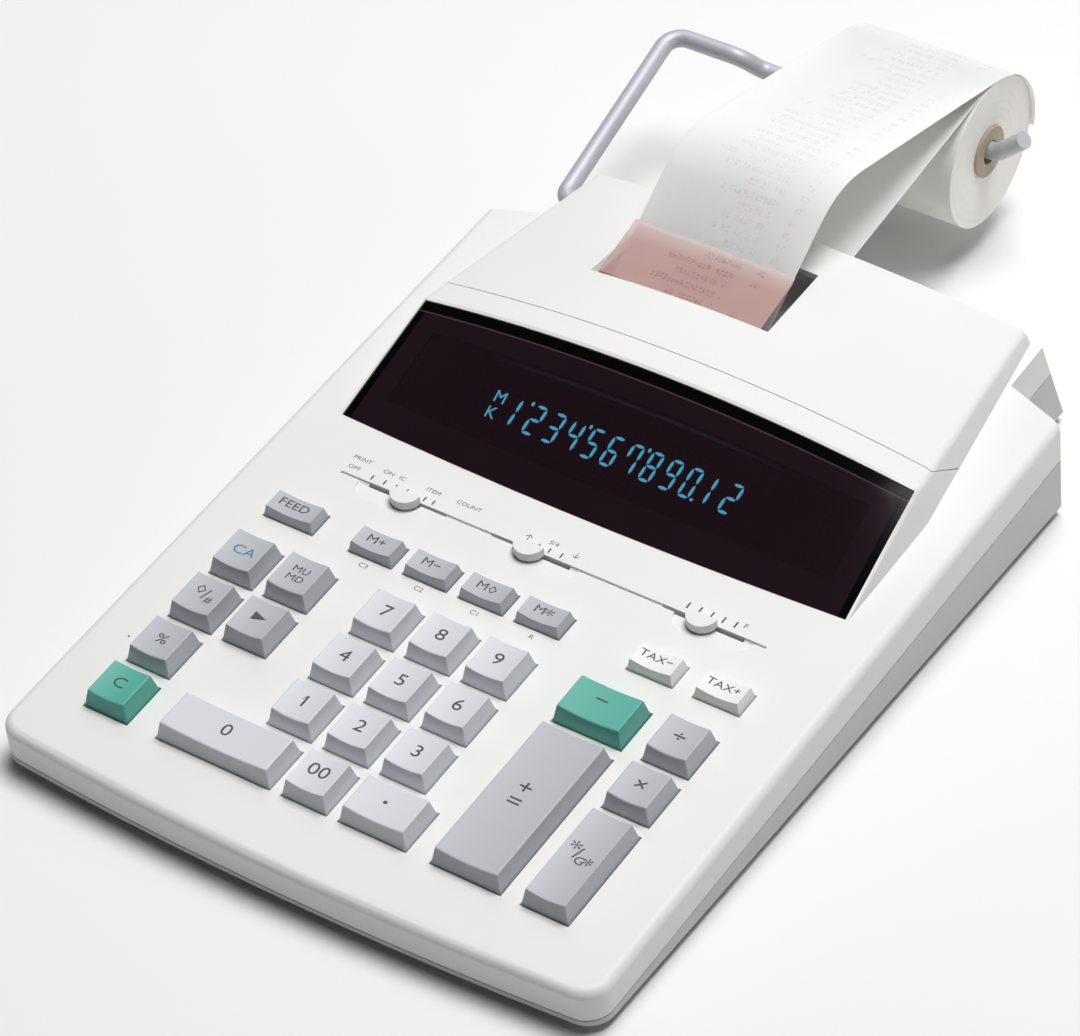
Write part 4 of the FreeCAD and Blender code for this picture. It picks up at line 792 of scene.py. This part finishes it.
def add_lit_figures():
    """The lit figures and marks on the display tube's face."""
    deselect()
    bpy.ops.mesh.primitive_circle_add(vertices=10, radius=POINT_RADIUS, fill_type="NGON",
                                      location=POINT_PLACE)
    figures = bpy.context.object
    bpy.ops.object.transform_apply(location=True)
    bpy.ops.object.mode_set(mode="EDIT")
    for index, figure in enumerate(SHOWN):
        middle = FIRST_FIGURE + FIGURE_PITCH * index
        if figure == "1":
            for level in (0.25, 0.75):
                add_bar(middle, FIGURE_FOOT + FIGURE_HEIGHT * level, FIGURE_HEIGHT * ONE_SHARE, True)
            continue
        for segment in FIGURES[figure]:
            x, y, upright = SEGMENTS[segment]
            length = (FIGURE_HEIGHT / 2.0 if upright else FIGURE_WIDTH) * BAR_SHARE
            add_bar(middle + (x - 0.5) * FIGURE_WIDTH, FIGURE_FOOT + y * FIGURE_HEIGHT / 2.0, length, upright)
    for index in COMMA_AFTER:
        comma = FIRST_FIGURE + FIGURE_PITCH * (index + 0.5)
        add_bar(comma, FIGURE_FOOT + FIGURE_HEIGHT, COMMA_LENGTH, True)
    bpy.ops.object.mode_set(mode="OBJECT")
    for vertex in figures.data.vertices:
        x, y, _ = vertex.co
        vertex.co = (x + LEAN * (y - LEAN_LEVEL), y, 0.0)
    pieces = [figures]
    for text, level in MARKS.items():
        mark = add_word(text, MARK_SIZE, 0.0, MARK_STEPS)
        for vertex in mark.data.vertices:
            x, y, _ = vertex.co
            vertex.co = (x + MARK_PLACE + LEAN * level, y + level, 0.0)
        pieces.append(mark)
    figures = join(pieces, "lit_figures")
    tube = DECK @ Matrix.Translation((0.0, *TUBE_FACE)) @ Matrix.Rotation(TUBE_TILT, 4, "X")
    figures.data.transform(tube @ Matrix.Translation((0.0, 0.0, FIGURE_LIFT)))
    thickness = figures.modifiers.new("thickness", "SOLIDIFY")
    thickness.thickness = FIGURE_THICKNESS * MILLIMETRE
    apply_modifiers(figures)
    dress(figures, LIT)
    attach(figures, "case")


# The paper's path in v and w: up from the feed roller, over a crest, on to the roll

FEED, FEED_REACH, ROLL_REACH, CREST_RADIUS = Vector((246.262, 2.206)), 5.55, 26.55, 28.0
TEAR, JOINT_LEAD, JOINT_GAP = Vector((262.0, 20.498)), 10.0, 0.3
RISE, FALL, TAIL = math.radians(36.0), math.radians(13.5), math.radians(15.0)
TAIL_LENGTH = 0.4
PAPER_WIDTH, PAPER_THICKNESS, PAPER_COLUMNS = 57.0, 0.12, 6
ARC_STEP, STRAIGHT_STEP = 1.5, 4.5
# The roll's left end, and the sideways way of the paper from the printer to the roll.
ROLL_LEFT, DRIFT = -38.7, math.atan2(6.2, 106.5)
# Two places on the paper's way: one over the case, one by the arm.
ON_CASE, ON_ARM = at(-12.0, 276.0, 20.0), at(-12.0, 345.0, 10.0)


def crossing(point, way, other, other_way):
    """Where two straight runs meet."""
    gap = other - point
    along = (gap.x * other_way.y - gap.y * other_way.x) / (way.x * other_way.y - way.y * other_way.x)
    return point + way * along


def straight(start, end):
    """Points along a straight run, after its start."""
    count = max(1, round((end - start).length / STRAIGHT_STEP))
    return [start.lerp(end, (index + 1) / count) for index in range(count)]


def rounded(points, radii):
    """Points along straight runs joined by tangent arcs."""
    line = [points[0]]
    for before, corner, after, radius in zip(points, points[1:], points[2:], radii):
        into, out = (corner - before).normalized(), (after - corner).normalized()
        turn = into.angle(out)
        start = corner - into * (radius * math.tan(turn / 2.0))
        centre = corner + (out - into).normalized() * (radius / math.cos(turn / 2.0))
        swing = 1.0 if into.cross(out) > 0.0 else -1.0
        line += straight(line[-1], start)
        steps = max(3, round(radius * turn / ARC_STEP))
        spoke = start - centre
        for index in range(steps):
            angle = swing * turn * (index + 1) / steps
            line.append(centre + Vector((spoke.x * math.cos(angle) - spoke.y * math.sin(angle),
                                         spoke.x * math.sin(angle) + spoke.y * math.cos(angle))))
    return line + straight(line[-1], points[-1])


def add_paper(name, line, node, faces):
    """A strip of paper along a line in v and w, drifting sideways from the printer to the roll."""
    deselect()
    bpy.ops.mesh.primitive_grid_add(x_subdivisions=PAPER_COLUMNS, y_subdivisions=len(line) - 1, size=2.0)
    strip = bpy.context.object
    strip.name = name
    lengths = [0.0]
    for before, after in zip(line, line[1:]):
        lengths.append(lengths[-1] + (after - before).length)
    places = {}
    for vertex in strip.data.vertices:
        share = (vertex.co.x + 1.0) / 2.0
        index = round((vertex.co.y + 1.0) / 2.0 * (len(line) - 1))
        v, w = line[index]
        u = ROLL_LEFT + share * PAPER_WIDTH + (v - ROLL.x) * math.sin(DRIFT)
        places[vertex.index] = (share * PAPER_WIDTH, lengths[index])
        vertex.co = at(u, ROLL.x + (v - ROLL.x) * math.cos(DRIFT), w)
    for loop in strip.data.loops:
        strip.data.uv_layers.active.data[loop.index].uv = places[loop.vertex_index]
    thickness = strip.modifiers.new("thickness", "SOLIDIFY")
    thickness.thickness, thickness.offset = PAPER_THICKNESS * MILLIMETRE, 0.0
    thickness.material_offset = thickness.material_offset_rim = 1
    dress(strip, *faces)
    apply_modifiers(strip)
    smooth(40.0)
    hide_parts(node)
    return strip


def add_paper_run():
    """The feed web from the roll into the printer, and the printed tape from there back over the roll."""
    span = ROLL - FEED
    angle = math.atan2(span.y, span.x) + math.asin((FEED_REACH + ROLL_REACH) / span.length)
    down = Vector((math.sin(angle), -math.cos(angle)))
    low, high = FEED + down * FEED_REACH, ROLL - down * ROLL_REACH
    web_way = (high - low).normalized()
    rising = Vector((math.cos(RISE), math.sin(RISE)))
    falling = Vector((math.cos(FALL), -math.sin(FALL)))
    landing = ROLL + Vector((math.sin(FALL), math.cos(FALL))) * ROLL_REACH
    leaving = ROLL + Vector((math.cos(TAIL), -math.sin(TAIL))) * ROLL_REACH
    hanging = Vector((-math.sin(TAIL), -math.cos(TAIL)))
    tape_start, web_start = (low + web_way * ((v - low.x) / web_way.x)
                             for v in (TEAR.x - JOINT_LEAD, TEAR.x - JOINT_LEAD + JOINT_GAP))
    corners = [tape_start, crossing(low, web_way, TEAR, rising), crossing(TEAR, rising, landing, falling),
               crossing(landing, falling, leaving, hanging), leaving + hanging * TAIL_LENGTH]
    tape_line = rounded(corners, [FEED_REACH, CREST_RADIUS, ROLL_REACH])
    web_line = rounded([web_start, high], [])
    tape = add_paper("paper_tape_run", tape_line, "paper_tape", (PRINTED_PAPER, BLANK_PAPER))
    web = add_paper("paper_feed_run", web_line, "paper_feed", (BLANK_PAPER, BLANK_PAPER))
    for strip in (tape, web):
        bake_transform(strip)


# The roll: rings of wound paper, each stepped a little in or out

ROLL_RADIUS, CORE_RADIUS, ROLL_SIDES = 26.0, 8.8, 96
ROLL_RINGS, RING_STEPS = 20, (-0.05, -0.17, 0.07)


def add_wound_roll():
    """A drum whose ends are stepped ring by ring, with a bore for its core."""
    deselect()
    bpy.ops.mesh.primitive_cylinder_add(vertices=ROLL_SIDES, radius=ROLL_RADIUS, depth=PAPER_WIDTH,
                                        end_fill_type="NGON", rotation=(0.0, math.pi / 2.0, 0.0),
                                        location=ORIGIN)
    roll = bpy.context.object
    roll.name = "wound_roll"
    bpy.ops.object.transform_apply(rotation=True)
    bpy.context.tool_settings.mesh_select_mode = (False, False, True)
    bpy.ops.object.mode_set(mode="EDIT")
    bpy.ops.mesh.select_all(action="DESELECT")
    bpy.ops.object.mode_set(mode="OBJECT")
    for face in roll.data.polygons:
        face.select = abs(face.normal.x) > 0.9
    bpy.ops.object.mode_set(mode="EDIT")
    for ring in range(ROLL_RINGS):
        bpy.ops.mesh.inset(thickness=(ROLL_RADIUS - CORE_RADIUS) / ROLL_RINGS, depth=RING_STEPS[ring % 3])
    bpy.ops.mesh.bridge_edge_loops()
    bpy.ops.object.mode_set(mode="OBJECT")
    roll.data.transform(DECK @ Matrix.Translation((ROLL_LEFT + PAPER_WIDTH / 2.0, *ROLL)))
    choose(roll)
    smooth(25.0)
    dress(roll, FINISHES["paper"])
    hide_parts("paper_roll")
    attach(roll, "roll")


# How far the edges are rounded off, in millimetres.
KEY_ROUNDING, SLIDER_ROUNDING = 0.45, 0.35
SHELL_ROUNDINGS = {
    "upper_case": 0.4, "printer_cover": 0.5, "lower_case": 0.5, "display_window": 0.25, "tear_window": 0.2,
}

add_camera()
add_studio()
add_floor()

for node, piece in frame["nodes"].items():
    dress(piece, FINISHES[SLOT_OF[node]])

for node, words in KEY_LEGENDS.items():
    key = softened(node, KEY_ROUNDING, 3)
    finish = BLUE_LEGEND if node == "key_clear_all" else LEGEND
    add_lettering(f"{node}_legend", words, key, finish, BODY_OF[node], deck_middle(node))

add_dome_sheet()
shells = {node: softened(node, width, 2) for node, width in SHELL_ROUNDINGS.items()}
for node in ("slider_left", "slider_middle", "slider_right"):
    softened(node, SLIDER_ROUNDING, 3)

add_lettering("deck_scales", DECK_SCALES, shells["upper_case"], LEGEND, "case")
add_lettering("deck_legends", DECK_WORDS, shells["upper_case"], PALE_LEGEND, "case")
add_lit_figures()
add_paper_run()
add_wound_roll()
